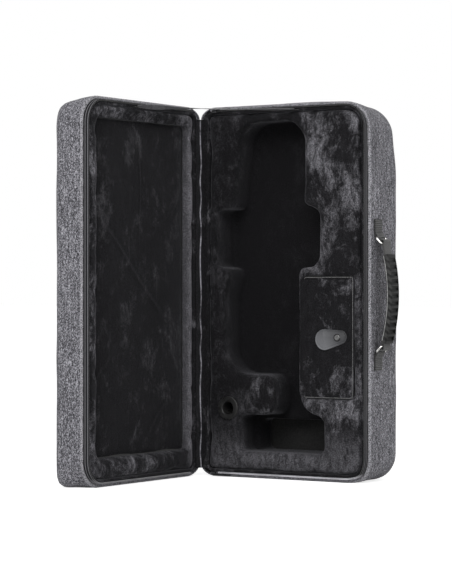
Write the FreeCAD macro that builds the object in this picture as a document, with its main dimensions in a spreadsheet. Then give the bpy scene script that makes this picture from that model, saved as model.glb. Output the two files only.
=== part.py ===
"""Soft zip-round trumpet case, standing open on its short end, as a parametric FreeCAD document.

Every sub-part is an object bound to the sheet "Sizes". A half of the case is drawn in its own frame:
x across the mouth, y up, z out of the mouth, with the mouth plane at z = 0 and the back at z = -depth.
The base opens towards -Y of the case's frame, and the lid, turned a quarter open, towards +X.
The hinge side is at low x in the base and at high x in the lid.
"""

import FreeCAD, Part
import math
import os
import re

import Sketcher

SIZES = {
    # overall form of the two halves
    "case_height": 540.0,
    "case_width": 280.0,
    "base_depth": 96.0,
    "lid_depth": 60.0,
    "corner_radius": 38.0,
    "hinge_corner_radius": 18.0,
    "back_radius": 17.0,
    # walls, from the outside in
    "cover_thick": 1.5,
    "board_thick": 9.0,
    "back_board_thick": 4.0,
    "board_return": 26.0,
    "board_window_radius": 6.0,
    "lining_thick": 1.0,
    "fit_gap": 0.3,
    # rim and zip
    "plush_setback": 3.5,
    "hem_front": 9.0,
    "piping_thick": 3.0,
    "piping_round": 1.2,
    "tape_inset": 5.0,
    "tape_thick": 0.6,
    "tape_front": 0.6,
    "tape_end": 14.0,
    "coil_thick": 1.4,
    "coil_wide": 2.6,
    # hinge and stay
    "hinge_cloth_thick": 1.2,
    "hinge_cloth_wide": 11.5,
    "stay_from_hinge": 158.0,
    "stay_inset": 8.5,
    "stay_wide": 10.0,
    "stay_thick": 0.8,
    "anchor_wide": 18.0,
    "anchor_thick": 1.0,
    # foam insert and the instrument's well, measured from the hinge side and from the floor
    "well_depth": 56.0,
    "loop_left": 50.0,
    "loop_left_top": 64.0,
    "loop_right": 172.0,
    "loop_top_margin": 24.0,
    "loop_bow_radius": 34.0,
    "valve_left": 22.0,
    "valve_top": 391.0,
    "valve_bottom": 305.0,
    "finger_right": 198.0,
    "bow_left": 36.0,
    "bow_shoulder": 262.0,
    "bow_bottom": 150.0,
    "bow_radius": 40.0,
    "neck_left": 124.0,
    "neck_right": 165.0,
    "bell_left": 60.0,
    "bell_right": 204.0,
    "bell_top": 92.0,
    "bell_bottom": 38.0,
    "bell_deep_wide": 122.0,
    "bell_deep_top": 84.0,
    "bell_deep_radius": 4.0,
    "flare_radius": 36.0,
    "hump_radius": 18.0,
    "pocket_radius": 9.0,
    "insert_edge_radius": 6.0,
    # accessory compartment
    "flap_left": 174.0,
    "flap_bottom": 119.0,
    "flap_free_margin": 26.0,
    "flap_high": 172.0,
    "flap_thick": 4.0,
    "flap_gap": 0.6,
    "flap_radius": 3.0,
    "flap_strip_wide": 12.0,
    "flap_strip_thick": 0.4,
    "tray_wall": 2.0,
    # pull tab of the compartment
    "tab_long": 51.0,
    "tab_wide": 30.0,
    "tab_narrow": 20.0,
    "tab_thick": 1.8,
    "tab_past_rivet": 5.5,
    "tab_tilt": 8.0,
    "rivet_from_free_edge": 24.0,
    "rivet_shank_radius": 2.0,
    "rivet_head_radius": 5.4,
    "rivet_head_high": 2.2,
    "rivet_play": 0.1,
    # mouthpiece holder
    "holder_from_hinge": 45.5,
    "holder_up": 100.5,
    "holder_flange_radius": 17.0,
    "holder_flange_thick": 2.0,
    "holder_bore_top": 9.5,
    "holder_bore_bottom": 6.5,
    "holder_wall": 2.0,
    "holder_deep": 62.0,
    # lid frame and panel
    "recess_hinge_margin": 20.0,
    "recess_free_margin": 28.0,
    "recess_top_margin": 28.0,
    "recess_bottom_margin": 40.0,
    "recess_deep": 15.0,
    "recess_radius": 7.0,
    "panel_thick": 1.5,
    # carrying handle on the side away from the hinge
    "handle_behind": 29.0,
    "tab_strip_long": 26.0,
    "tab_strip_wide": 21.0,
    "webbing_thick": 2.4,
    "wall_bar_out": 4.4,
    "wall_bar_up": 80.6,
    "handle_below_middle": 4.4,
    "ring_long": 12.0,
    "ring_half_wide": 12.5,
    "wire_radius": 1.5,
    "ring_angle": 45.0,
    "ring_corner": 3.0,
    "eye_play": 0.35,
    "eye_wall": 1.65,
    "strap_eye_play": 0.5,
    "handle_lift": 2.5,
    "strap_wide": 20.0,
    "strap_bow": 11.0,
    "grip_wide": 26.0,
    "grip_inner": 3.2,
    "grip_outer": 5.0,
    "grip_angle": 29.5,
    "grip_drop": 1.4,
    "grip_outer_round": 3.4,
    "grip_inner_round": 2.2,
    "scallop_radius": 3.4,
    "scallop_cut": 2.3,
    "scallop_margin": 3.5,
    "scallop_pitch": 2.35,
    "scallop_count": 12,
    # zip sliders and their pulls
    "slider_long": 10.0,
    "slider_outer_wide": 9.0,
    "slider_inner_wide": 6.4,
    "slider_plate": 1.0,
    "slider_gap": 0.3,
    "slider_post": 0.6,
    "slider_post_long": 3.0,
    "slider_from_corner": 8.0,
    "bail_out": 2.5,
    "bail_thick": 0.7,
    "bail_long": 7.0,
    "bail_wide": 1.2,
    "pull_out": 1.0,
    "pull_long": 24.0,
    "pull_wide": 6.5,
    "pull_thick": 1.0,
    "pull_window_long": 4.0,
    "pull_window_wide": 2.6,
    # patch pocket behind the base
    "pocket_wide": 252.0,
    "pocket_top_margin": 60.0,
    "pocket_bottom": 40.0,
    "pocket_thick": 5.0,
    "pocket_round": 3.0,
    "pocket_hem": 12.0,
    "pocket_hem_thick": 0.8,
    "pocket_corner": 24.0,
}

# lengths that follow the case's outline
FOLLOWING = {
    "loop_top": "=case_height - loop_top_margin",
    "flap_wide": "=case_width - flap_left - flap_free_margin",
    "pocket_top": "=case_height - pocket_top_margin",
}

doc = FreeCAD.newDocument("TrumpetCase")
sheet = doc.addObject("Spreadsheet::Sheet", "Sizes")
for row, (alias, content) in enumerate([*SIZES.items(), *FOLLOWING.items()], start=1):
    sheet.set("A%d" % row, alias)
    sheet.set("B%d" % row, str(content))
    sheet.setAlias("B%d" % row, alias)
doc.recompute()
SIZES.update((alias, sheet.get(alias)) for alias in FOLLOWING)

NODES = []
TOLERANCE = 1e-4


def size(formula):
    """A formula with plain alias words, each pointing at the sheet."""

    def on_sheet(word):
        return "Sizes." + word[0] if word[0] in SIZES else word[0]

    return re.sub(r"[a-z_]{4,}", on_sheet, formula)


def bind(item, path, formula):
    item.setExpression(path, size(formula))


# ---------------------------------------------------------------- frames of the parts


def in_base(part):
    """Stand a part of the base in the case's frame: x stays, y goes up, the mouth faces -Y."""
    part.Placement = FreeCAD.Placement(FreeCAD.Vector(), FreeCAD.Rotation(FreeCAD.Vector(1, 0, 0), 90))
    bind(part, "Placement.Base.y", "-base_depth / 2")
    bind(part, "Placement.Base.z", "case_height / 2")


def in_lid(part):
    """Stand a part of the open lid in the case's frame: x along +Y, y up, the mouth faces +X."""
    part.Placement = FreeCAD.Placement(FreeCAD.Vector(), FreeCAD.Rotation(FreeCAD.Vector(1, 1, 1), 120))
    bind(part, "Placement.Base.x", "-case_width / 2")
    bind(part, "Placement.Base.y", "-base_depth / 2 - case_width / 2")
    bind(part, "Placement.Base.z", "case_height / 2")


def new_body(label, stand):
    body = doc.addObject("PartDesign::Body", label)
    body.Label = label
    stand(body)
    NODES.append(body)
    return body


# ---------------------------------------------------------------- sketches and features


def new_sketch(body, name, role, across, up, out):
    """A sketch on one of the body's own planes, moved by (across, up, out) in that plane's axes."""
    plane = [item for item in body.Origin.OriginFeatures if item.Role == role][0]
    sketch = body.newObject("Sketcher::SketchObject", name)
    sketch.AttachmentSupport = (plane, [""])
    sketch.MapMode = "FlatFace"
    bind(sketch, "AttachmentOffset.Base.x", across)
    bind(sketch, "AttachmentOffset.Base.y", up)
    bind(sketch, "AttachmentOffset.Base.z", out)
    return sketch


def rectangle(sketch, wide, high):
    """A rectangle about the sketch's own origin."""
    corners = [(-1, -1), (1, -1), (1, 1), (-1, 1)]
    for start, end in zip(corners, corners[1:] + corners[:1]):
        sketch.addGeometry(Part.LineSegment(FreeCAD.Vector(*start, 0), FreeCAD.Vector(*end, 0)))
    for line in range(4):
        sketch.addConstraint(Sketcher.Constraint("Coincident", line, 2, (line + 1) % 4, 1))
        sketch.addConstraint(Sketcher.Constraint("Vertical" if line % 2 else "Horizontal", line))
    sketch.addConstraint(Sketcher.Constraint("Symmetric", 0, 1, 1, 2, -1, 1))
    across = sketch.addConstraint(Sketcher.Constraint("DistanceX", 0, 1, 0, 2, 2.0))
    upward = sketch.addConstraint(Sketcher.Constraint("DistanceY", 1, 1, 1, 2, 2.0))
    bind(sketch, "Constraints[%d]" % across, wide)
    bind(sketch, "Constraints[%d]" % upward, high)


def circle(sketch, radius):
    sketch.addGeometry(Part.Circle(FreeCAD.Vector(), FreeCAD.Vector(0, 0, 1), 1.0))
    sketch.addConstraint(Sketcher.Constraint("Coincident", 0, 3, -1, 1))
    bind(sketch, "Constraints[%d]" % sketch.addConstraint(Sketcher.Constraint("Radius", 0, 1.0)), radius)


def polygon(sketch, points):
    """A closed outline through (across, up) formulas, all of them positive lengths."""
    count = len(points)
    places = [FreeCAD.Vector(SIZES[across], SIZES[up], 0) for across, up in points]
    for start, end in zip(places, places[1:] + places[:1]):
        sketch.addGeometry(Part.LineSegment(start, end))
    for index, (across, up) in enumerate(points):
        sketch.addConstraint(Sketcher.Constraint("Coincident", index, 2, (index + 1) % count, 1))
        for kind, formula in (("DistanceX", across), ("DistanceY", up)):
            number = sketch.addConstraint(Sketcher.Constraint(kind, -1, 1, index, 1, SIZES[formula]))
            bind(sketch, "Constraints[%d]" % number, formula)


def pad(body, name, sketch, length):
    """Add material from the sketch towards the back of the half."""
    feature = body.newObject("PartDesign::Pad", name)
    feature.Profile = sketch
    feature.Reversed = True
    bind(feature, "Length", length)
    doc.recompute()
    return feature


def pocket(body, name, sketch, length):
    """Cut from the sketch towards the back of the half, and make sure that something went."""
    before = body.Shape.Volume
    feature = body.newObject("PartDesign::Pocket", name)
    feature.Profile = sketch
    bind(feature, "Length", length)
    doc.recompute()
    if not body.Shape.Volume < before:
        raise RuntimeError("%s cuts nothing" % name)
    return feature


def fillet(body, name, base, edges, radius):
    if not edges:
        raise RuntimeError("%s has no edges" % name)
    feature = body.newObject("PartDesign::Fillet", name)
    feature.Base = (base, edges)
    bind(feature, "Radius", radius)
    doc.recompute()
    if "Invalid" in feature.State:
        raise RuntimeError("%s failed" % name)
    return feature


def edge_names(feature, test):
    return ["Edge%d" % number for number, edge in enumerate(feature.Shape.Edges, start=1) if test(edge)]


def upright_at(corners):
    """Test for straight edges along z that stand over one of the corner points."""

    def test(edge):
        box = edge.BoundBox
        if max(box.XLength, box.YLength) > TOLERANCE:
            return False
        return any(math.hypot(box.XMin - at.x, box.YMin - at.y) < TOLERANCE for at in corners)

    return test


def flat_within(outline, height):
    """Test for edges lying at one height inside the outline's bounding box."""

    def test(edge):
        box = edge.BoundBox
        flat = abs(box.ZMin - height) < TOLERANCE and abs(box.ZMax - height) < TOLERANCE
        wide = outline.XMin - TOLERANCE < box.XMin and box.XMax < outline.XMax + TOLERANCE
        return flat and wide and outline.YMin - TOLERANCE < box.YMin and box.YMax < outline.YMax + TOLERANCE

    return test


def slab(body, name, wide, high, front, length, across="0", up="0", corner=None, back=None, cut=False):
    """A rectangular pad or pocket running back from z = -front, with rounded corners and back edge."""
    sketch = new_sketch(body, name + "_outline", "XY_Plane", across, up, "-(%s)" % front)
    rectangle(sketch, wide, high)
    feature = (pocket if cut else pad)(body, name, sketch, length)
    far = sketch.Shape.BoundBox.ZMin - feature.Length.Value
    outline = (name, [vertex.Point for vertex in sketch.Shape.Vertexes], sketch.Shape.BoundBox, far)
    soften(body, outline, [("_corners", outline[1], corner)] if corner else [], back)
    return outline


def soften(body, outline, corner_groups, back=None):
    """Round a slab's upright corners group by group, then the edges round its far end."""
    name, corners, box, far = outline
    for word, group, radius in corner_groups:
        fillet(body, name + word, body.Tip, edge_names(body.Tip, upright_at(group)), radius)
    if back:
        fillet(body, name + "_back", body.Tip, edge_names(body.Tip, flat_within(box, far)), back)


def disc(body, name, radius, front, length, across="0", up="0", cut=False):
    """A round pad or pocket running back from z = -front."""
    sketch = new_sketch(body, name + "_outline", "XY_Plane", across, up, "-(%s)" % front)
    circle(sketch, radius)
    return (pocket if cut else pad)(body, name, sketch, length)


def outline_slab(body, name, hinge, inset, front, length, back=None, cut=False):
    """A slab with the outline of the case, drawn in by an inset all round, and its rounding for later.

    The two corners on the hinge side are tighter than the two on the free side.
    """
    wide = "case_width - 2 * (%s)" % inset
    high = "case_height - 2 * (%s)" % inset
    outline = slab(body, name, wide, high, front, length, cut=cut)
    hinge_side = [corner for corner in outline[1] if corner.x * hinge > 0]
    free_side = [corner for corner in outline[1] if corner.x * hinge < 0]
    groups = [("_free_corners", free_side, "corner_radius - (%s)" % inset),
              ("_hinge_corners", hinge_side, "hinge_corner_radius - (%s)" % inset)]
    return outline, groups, back


def soften_all(body, outline_slabs):
    for outline, groups, back in outline_slabs:
        soften(body, outline, groups, back)


def rounded_outline_slab(body, name, hinge, inset, front, length, back=None):
    soften_all(body, [outline_slab(body, name, hinge, inset, front, length, back=back)])


# ---------------------------------------------------------------- the two halves' walls

HEM_BACK = "hem_front + piping_thick"
WALL_INNER = "cover_thick + board_thick"
LINING_INNER = "cover_thick + board_thick + lining_thick"
BACK_INNER = "cover_thick + back_board_thick + lining_thick"
BACK_WIDE = "case_width - 2 * board_return"
BACK_HIGH = "case_height - 2 * board_return"
TAPE_INNER = "tape_inset + tape_thick"
COIL_INNER = "tape_inset + tape_thick + coil_thick"
RIM_OUTER = "tape_inset + tape_thick + slider_gap / 2"
PLUSH_FACE = "plush_setback + lining_thick"
INSERT_INSET = "cover_thick + board_thick + lining_thick + fit_gap"
STRAIGHT_SIDE = "case_height - 2 * hinge_corner_radius"
HINGE_FRONT = "hinge_cloth_thick + fit_gap"


def hinge_side_slab(body, name, hinge, outer, inner, front, length, high=STRAIGHT_SIDE, cut=False):
    """A slab along the hinge-side wall, between two insets from the case's side."""
    across = "%d * (case_width / 2 - ((%s) + (%s)) / 2)" % (hinge, outer, inner)
    return slab(body, name, "(%s) - (%s)" % (inner, outer), high, front, length, across=across, cut=cut)


def cover(label, stand, hinge, depth):
    """Woven outer fabric: back and four walls, running right up to the hinge line on the hinge side."""
    body = new_body(label, stand)
    block = outline_slab(body, label + "_block", hinge, "0", HEM_BACK, "%s - (%s)" % (depth, HEM_BACK),
                         back="back_radius")
    hollow = outline_slab(body, label + "_hollow", hinge, "cover_thick", "0", "%s - cover_thick" % depth,
                          back="back_radius - cover_thick", cut=True)
    soften_all(body, [hollow, block])
    hinge_side_slab(body, label + "_hinge_edge", hinge, "0", "cover_thick", HINGE_FRONT,
                    "%s - (%s)" % (HEM_BACK, HINGE_FRONT))


def board(label, stand, hinge, depth):
    """Foam-faced stiffening band that gives the half its walls, stepped in at the rim for the zip."""
    body = new_body(label, stand)
    block = outline_slab(body, label + "_block", hinge, "cover_thick", HEM_BACK,
                         "%s - cover_thick - (%s)" % (depth, HEM_BACK), back="back_radius - cover_thick")
    rim = outline_slab(body, label + "_rim", hinge, RIM_OUTER, PLUSH_FACE,
                       "%s - (%s)" % (HEM_BACK, PLUSH_FACE))
    hollow = outline_slab(body, label + "_hollow", hinge, WALL_INNER, "0",
                          "%s - cover_thick - back_board_thick" % depth,
                          back="back_radius - (%s)" % WALL_INNER, cut=True)
    soften_all(body, [hollow, rim, block])
    slab(body, label + "_window", BACK_WIDE, BACK_HIGH, "%s - cover_thick - back_board_thick" % depth,
         "back_board_thick", corner="board_window_radius", cut=True)
    hinge_side_slab(body, label + "_hinge_edge", hinge, "cover_thick", WALL_INNER, HINGE_FRONT,
                    "%s - (%s)" % (HEM_BACK, HINGE_FRONT))


def back_board(label, stand, depth):
    """Flat board that fills the window left in the back of the band."""
    body = new_body(label, stand)
    slab(body, label + "_panel", BACK_WIDE + " - 2 * fit_gap", BACK_HIGH + " - 2 * fit_gap",
         "%s - cover_thick - back_board_thick" % depth, "back_board_thick", corner="board_window_radius")


def lining(label, stand, hinge, depth):
    """Plush lining: a thin tray with a lip turned out over the rim."""
    body = new_body(label, stand)
    block = outline_slab(body, label + "_block", hinge, WALL_INNER, PLUSH_FACE,
                         "%s - cover_thick - back_board_thick - (%s)" % (depth, PLUSH_FACE),
                         back="back_radius - (%s)" % WALL_INNER)
    lip = outline_slab(body, label + "_lip", hinge, RIM_OUTER, "plush_setback", "lining_thick")
    hollow = outline_slab(body, label + "_hollow", hinge, LINING_INNER, "0",
                          "%s - (%s)" % (depth, BACK_INNER),
                          back="back_radius - (%s)" % LINING_INNER, cut=True)
    soften_all(body, [hollow, block, lip])
    hinge_side_slab(body, label + "_hinge_relief", hinge, "0", WALL_INNER, "0", PLUSH_FACE,
                    high="%s + 2 * fit_gap" % STRAIGHT_SIDE, cut=True)


def piping(label, stand, hinge):
    """Corded edge of the outer fabric, stitched over the zip tape on the three zipped sides."""
    body = new_body(label, stand)
    ring = outline_slab(body, label + "_ring", hinge, "0", "hem_front", "piping_thick")
    hollow = outline_slab(body, label + "_hollow", hinge, "tape_inset", "0", HEM_BACK, cut=True)
    soften_all(body, [hollow, ring])
    base = body.Tip
    whole = base.Shape.BoundBox
    inside = SIZES["tape_inset"] / 2

    def outer_front(edge):
        box = edge.BoundBox
        if box.ZLength > TOLERANCE or box.ZMin < whole.ZMax - TOLERANCE:
            return False
        if edge.Curve.TypeId == "Part::GeomCircle":
            outer_radii = (SIZES["corner_radius"], SIZES["hinge_corner_radius"])
            return any(abs(edge.Curve.Radius - radius) < TOLERANCE for radius in outer_radii)
        return max(box.XMax - whole.XMax, whole.XMin - box.XMin,
                   box.YMax - whole.YMax, whole.YMin - box.YMin) > -inside

    fillet(body, label + "_round", base, edge_names(base, outer_front), "piping_round")
    hinge_side_slab(body, label + "_hinge_gap", hinge, "-1", "tape_inset + 1", "0", HEM_BACK + " + 1",
                    cut=True)


def zip_strip(label, stand, hinge, outer, inner, back):
    """One half of the zip, tape or coil, as a strip round the three zipped sides."""
    body = new_body(label, stand)
    ring = outline_slab(body, label + "_ring", hinge, outer, "tape_front", "%s - tape_front" % back)
    hollow = outline_slab(body, label + "_hollow", hinge, inner, "0", back, cut=True)
    soften_all(body, [hollow, ring])
    hinge_side_slab(body, label + "_hinge_gap", hinge, "-1", "tape_end", "0", back,
                    high="case_height + 2", cut=True)


def half_shell(prefix, stand, hinge, depth):
    cover(prefix + "_cover", stand, hinge, depth)
    board(prefix + "_board", stand, hinge, depth)
    back_board(prefix + "_back_board", stand, depth)
    lining(prefix + "_lining", stand, hinge, depth)
    piping(prefix + "_piping", stand, hinge)
    zip_strip(prefix + "_zip_tape", stand, hinge, "tape_inset", TAPE_INNER, HEM_BACK)
    zip_strip(prefix + "_zip_coil", stand, hinge, TAPE_INNER, COIL_INNER, "tape_front + coil_wide")


# ---------------------------------------------------------------- foam insert of the base

WELL = [
    ("bell_left", "bell_bottom", "pocket_radius"),
    ("bell_right", "bell_bottom", "pocket_radius"),
    ("bell_right", "bell_top", "pocket_radius"),
    ("neck_right", "bell_top", "flare_radius"),
    ("neck_right", "valve_bottom", "pocket_radius"),
    ("finger_right", "valve_bottom", "hump_radius"),
    ("finger_right", "valve_top", "hump_radius"),
    ("loop_right", "valve_top", "pocket_radius"),
    ("loop_right", "loop_top", "loop_bow_radius"),
    ("loop_left_top", "loop_top", "loop_bow_radius"),
    ("loop_left", "valve_top", "pocket_radius"),
    ("valve_left", "valve_top", "pocket_radius"),
    ("valve_left", "valve_bottom", "pocket_radius"),
    ("loop_left", "valve_bottom", "pocket_radius"),
    ("bow_left", "bow_shoulder", "bow_radius"),
    ("bow_left", "bow_bottom", "bow_radius"),
    ("neck_left", "bow_bottom", "hump_radius"),
    ("neck_left", "bell_top", "hump_radius"),
    ("bell_left", "bell_top", "pocket_radius"),
]


def well(body, front, length):
    """The instrument's outline cut right through, each corner rounded by its own radius."""
    sketch = new_sketch(body, "trumpet_well_outline", "XY_Plane", "-case_width / 2", "-case_height / 2",
                        "-(%s)" % front)
    polygon(sketch, [point[:2] for point in WELL])
    feature = pocket(body, "trumpet_well", sketch, length)
    middle = FreeCAD.Vector(SIZES["case_width"] / 2, SIZES["case_height"] / 2, 0)
    for radius in sorted({point[2] for point in WELL}):
        corners = [FreeCAD.Vector(SIZES[across], SIZES[up], 0) - middle
                   for across, up, name in WELL if name == radius]
        names = edge_names(feature, upright_at(corners))
        feature = fillet(body, "well_" + radius, feature, names, radius)


def from_hinge(distance):
    return "(%s) - case_width / 2" % distance


def from_floor(distance):
    return "(%s) - case_height / 2" % distance


def compartment_hole(body, name, front, length):
    slab(body, name, "flap_wide + 2 * flap_gap", "flap_high + 2 * flap_gap", front, length,
         across=from_hinge("flap_left + flap_wide / 2"), up=from_floor("flap_bottom + flap_high / 2"),
         corner="flap_radius", cut=True)


def holder_hole(body, name, front, length):
    disc(body, name, "holder_bore_top + holder_wall + fit_gap", front, length,
         across=from_hinge("holder_from_hinge"), up=from_floor("holder_up"), cut=True)


def insert():
    """Two layers of plush-covered foam: the shaped well in the upper one, the deep bell pocket below."""
    upper = new_body("insert_upper", in_base)
    rounded_outline_slab(upper, "insert_upper_block", -1, INSERT_INSET, PLUSH_FACE,
                         "well_depth - (%s)" % PLUSH_FACE)
    well(upper, PLUSH_FACE, "well_depth - (%s)" % PLUSH_FACE)
    compartment_hole(upper, "compartment_hole", PLUSH_FACE, "well_depth - (%s)" % PLUSH_FACE)
    holder_hole(upper, "upper_holder_hole", PLUSH_FACE, "well_depth - (%s)" % PLUSH_FACE)
    lower = new_body("insert_lower", in_base)
    rounded_outline_slab(lower, "insert_lower_block", -1, INSERT_INSET, "well_depth",
                         "base_depth - (%s) - well_depth" % BACK_INNER, back="insert_edge_radius")
    slab(lower, "bell_deep", "bell_deep_wide", "bell_deep_top - bell_bottom", "well_depth",
         "base_depth - (%s) - well_depth" % BACK_INNER,
         across=from_hinge("(bell_left + bell_right) / 2"),
         up=from_floor("(bell_deep_top + bell_bottom) / 2"), corner="bell_deep_radius", cut=True)
    holder_hole(lower, "lower_holder_hole", "well_depth",
                "%s + holder_deep + fit_gap - well_depth" % PLUSH_FACE)


def mouthpiece_holder():
    """Turned plastic cup with a flange, tapered inside for a mouthpiece's shank."""
    body = new_body("mouthpiece_holder", in_base)
    middle = (from_hinge("holder_from_hinge"), from_floor("holder_up"))
    disc(body, "holder_flange", "holder_flange_radius", "%s - holder_flange_thick" % PLUSH_FACE,
         "holder_flange_thick", *middle)
    disc(body, "holder_tube", "holder_bore_top + holder_wall", PLUSH_FACE, "holder_deep", *middle)
    front = new_sketch(body, "holder_mouth", "XY_Plane", *middle, "holder_flange_thick - (%s)" % PLUSH_FACE)
    circle(front, "holder_bore_top")
    bore = pocket(body, "holder_bore", front, "holder_flange_thick + holder_deep - holder_wall")
    bind(bore, "TaperAngle", "-atan((holder_bore_top - holder_bore_bottom) / (holder_deep - holder_wall))")
    doc.recompute()
    rim = edge_names(bore, lambda edge: edge.BoundBox.ZLength < TOLERANCE
                     and abs(edge.BoundBox.ZMin - bore.Shape.BoundBox.ZMax) < TOLERANCE)
    fillet(body, "holder_rim_round", bore, rim, "holder_flange_thick / 2.5")


# ---------------------------------------------------------------- accessory compartment

FLAP_BACK = "(%s) + flap_thick" % PLUSH_FACE
TRAY_FRONT = "(%s) + flap_thick + fit_gap" % PLUSH_FACE


def compartment():
    """Open box under a plush-covered flap that swings on its left edge."""
    middle = {"across": from_hinge("flap_left + flap_wide / 2"),
              "up": from_floor("flap_bottom + flap_high / 2")}
    tray = new_body("compartment_tray", in_base)
    slab(tray, "tray_block", "flap_wide", "flap_high", TRAY_FRONT, "well_depth - (%s)" % TRAY_FRONT,
         corner="flap_radius", **middle)
    slab(tray, "tray_hollow", "flap_wide - 2 * tray_wall", "flap_high - 2 * tray_wall", TRAY_FRONT,
         "well_depth - (%s) - tray_wall" % TRAY_FRONT, cut=True, **middle)
    flap = new_body("flap_panel", in_base)
    slab(flap, "flap_block", "flap_wide", "flap_high", PLUSH_FACE, "flap_thick",
         corner="flap_radius", **middle)
    disc(flap, "rivet_hole", "rivet_shank_radius", PLUSH_FACE, "flap_thick",
         across=RIVET_ACROSS, up=RIVET_UP, cut=True)


def flap_strip():
    """Plush strip glued over the gap beside the flap, on which the flap swings."""
    strip = new_body("flap_hinge_strip", in_base)
    slab(strip, "flap_strip", "flap_strip_wide", "flap_high - 2 * flap_radius",
         "(%s) - flap_strip_thick" % PLUSH_FACE, "flap_strip_thick", across=from_hinge("flap_left"),
         up=from_floor("flap_bottom + flap_high / 2"))


RIVET_ACROSS = from_hinge("flap_left + flap_wide - rivet_from_free_edge")
RIVET_UP = from_floor("flap_bottom + flap_high / 2")


def at_rivet(part):
    """Frame of the pull tab: on the flap's face at the rivet, turned to the tab's resting tilt."""
    turn = FreeCAD.Rotation(FreeCAD.Vector(1, 0, 0), 90).multiply(
        FreeCAD.Rotation(FreeCAD.Vector(0, 0, 1), SIZES["tab_tilt"]))
    part.Placement = FreeCAD.Placement(FreeCAD.Vector(), turn)
    bind(part, "Placement.Base.x", RIVET_ACROSS)
    bind(part, "Placement.Base.y", "-base_depth / 2 + (%s)" % PLUSH_FACE)
    bind(part, "Placement.Base.z", "flap_bottom + flap_high / 2")


def pull_tab():
    """Egg of leatherette: a wide round end, a narrow round end past the rivet, straight flanks."""
    body = new_body("pull_tab", at_rivet)
    lift = "fit_gap + tab_thick"
    far = "tab_past_rivet - (tab_long - tab_wide / 2 - tab_narrow / 2)"
    disc(body, "tab_narrow_end", "tab_narrow / 2", "-(%s)" % lift, "tab_thick",
         across="tab_past_rivet")
    disc(body, "tab_wide_end", "tab_wide / 2", "-(%s)" % lift, "tab_thick", across=far)
    sketch = new_sketch(body, "tab_flanks_outline", "XY_Plane", "tab_past_rivet", "0", lift)
    reach = SIZES["tab_long"] - SIZES["tab_wide"] / 2 - SIZES["tab_narrow"] / 2
    lean = math.asin((SIZES["tab_wide"] - SIZES["tab_narrow"]) / 2 / reach)
    touch = FreeCAD.Vector(math.sin(lean), math.cos(lean), 0)
    mirror = FreeCAD.Vector(touch.x, -touch.y, 0)
    centre = FreeCAD.Vector(-reach, 0, 0)
    ends = [touch * (SIZES["tab_narrow"] / 2), centre + touch * (SIZES["tab_wide"] / 2),
            centre + mirror * (SIZES["tab_wide"] / 2), mirror * (SIZES["tab_narrow"] / 2)]
    for start, end in zip(ends, ends[1:] + ends[:1]):
        sketch.addGeometry(Part.LineSegment(start, end))
    pad(body, "tab_flanks", sketch, "tab_thick")
    disc(body, "tab_hole", "rivet_shank_radius + rivet_play", "-(%s)" % lift, "tab_thick", cut=True)


def rivet():
    """Domed rivet through the tab and the flap, with a washer under the flap."""
    body = new_body("tab_rivet", at_rivet)
    head_seat = "2 * fit_gap + tab_thick"
    disc(body, "rivet_shank", "rivet_shank_radius", "-(%s)" % head_seat, "%s + flap_thick" % head_seat)
    disc(body, "rivet_head", "rivet_head_radius", "-(%s + rivet_head_high)" % head_seat, "rivet_head_high")
    head = body.Tip
    rim = edge_names(head, lambda edge: abs(edge.BoundBox.ZMin - head.Shape.BoundBox.ZMax) < TOLERANCE)
    fillet(body, "rivet_dome", head, rim, "rivet_head_high - 0.2")


# ---------------------------------------------------------------- lid's frame and panel


def lid_padding():
    """Padded plush frame round a shallow recess, a soft panel in it and foam behind both."""
    recess = {"across": "(recess_free_margin - recess_hinge_margin) / 2",
              "up": "(recess_bottom_margin - recess_top_margin) / 2"}
    wide = "case_width - recess_hinge_margin - recess_free_margin"
    high = "case_height - recess_top_margin - recess_bottom_margin"
    frame_back = "(%s) + recess_deep + panel_thick" % PLUSH_FACE
    frame = new_body("lid_frame", in_lid)
    rounded_outline_slab(frame, "lid_frame_block", 1, INSERT_INSET, PLUSH_FACE, "recess_deep + panel_thick")
    slab(frame, "lid_recess", wide, high, PLUSH_FACE, "recess_deep + panel_thick", corner="recess_radius",
         cut=True, **recess)
    panel = new_body("lid_panel", in_lid)
    slab(panel, "lid_panel_block", "%s - 2 * fit_gap" % wide, "%s - 2 * fit_gap" % high,
         "(%s) + recess_deep" % PLUSH_FACE, "panel_thick", corner="recess_radius", **recess)
    foam = new_body("lid_foam", in_lid)
    rounded_outline_slab(foam, "lid_foam_block", 1, INSERT_INSET, frame_back,
                         "lid_depth - (%s) - (%s)" % (BACK_INNER, frame_back), back="insert_edge_radius")


# ---------------------------------------------------------------- hinge cloth and stay


def hinge_cloth():
    """Plush strip bent round the hinge line, lying on both rims."""
    body = doc.addObject("Part::MultiFuse", "hinge_cloth")
    body.Label = "hinge_cloth"
    sides = (("base_leaf", "hinge_cloth_wide", "0"), ("lid_leaf", "0", "hinge_cloth_wide"))
    leaves = []
    for name, across, behind in sides:
        leaf = doc.addObject("Part::Box", name)
        bind(leaf, "Length", "%s + hinge_cloth_thick" % across)
        bind(leaf, "Width", "%s + hinge_cloth_thick" % behind)
        bind(leaf, "Height", STRAIGHT_SIDE)
        bind(leaf, "Placement.Base.x", "-case_width / 2 - hinge_cloth_thick")
        bind(leaf, "Placement.Base.y", "-base_depth / 2 - %s" % behind)
        bind(leaf, "Placement.Base.z", "hinge_corner_radius")
        leaves.append(leaf)
    body.Shapes = leaves
    NODES.append(body)


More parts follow.
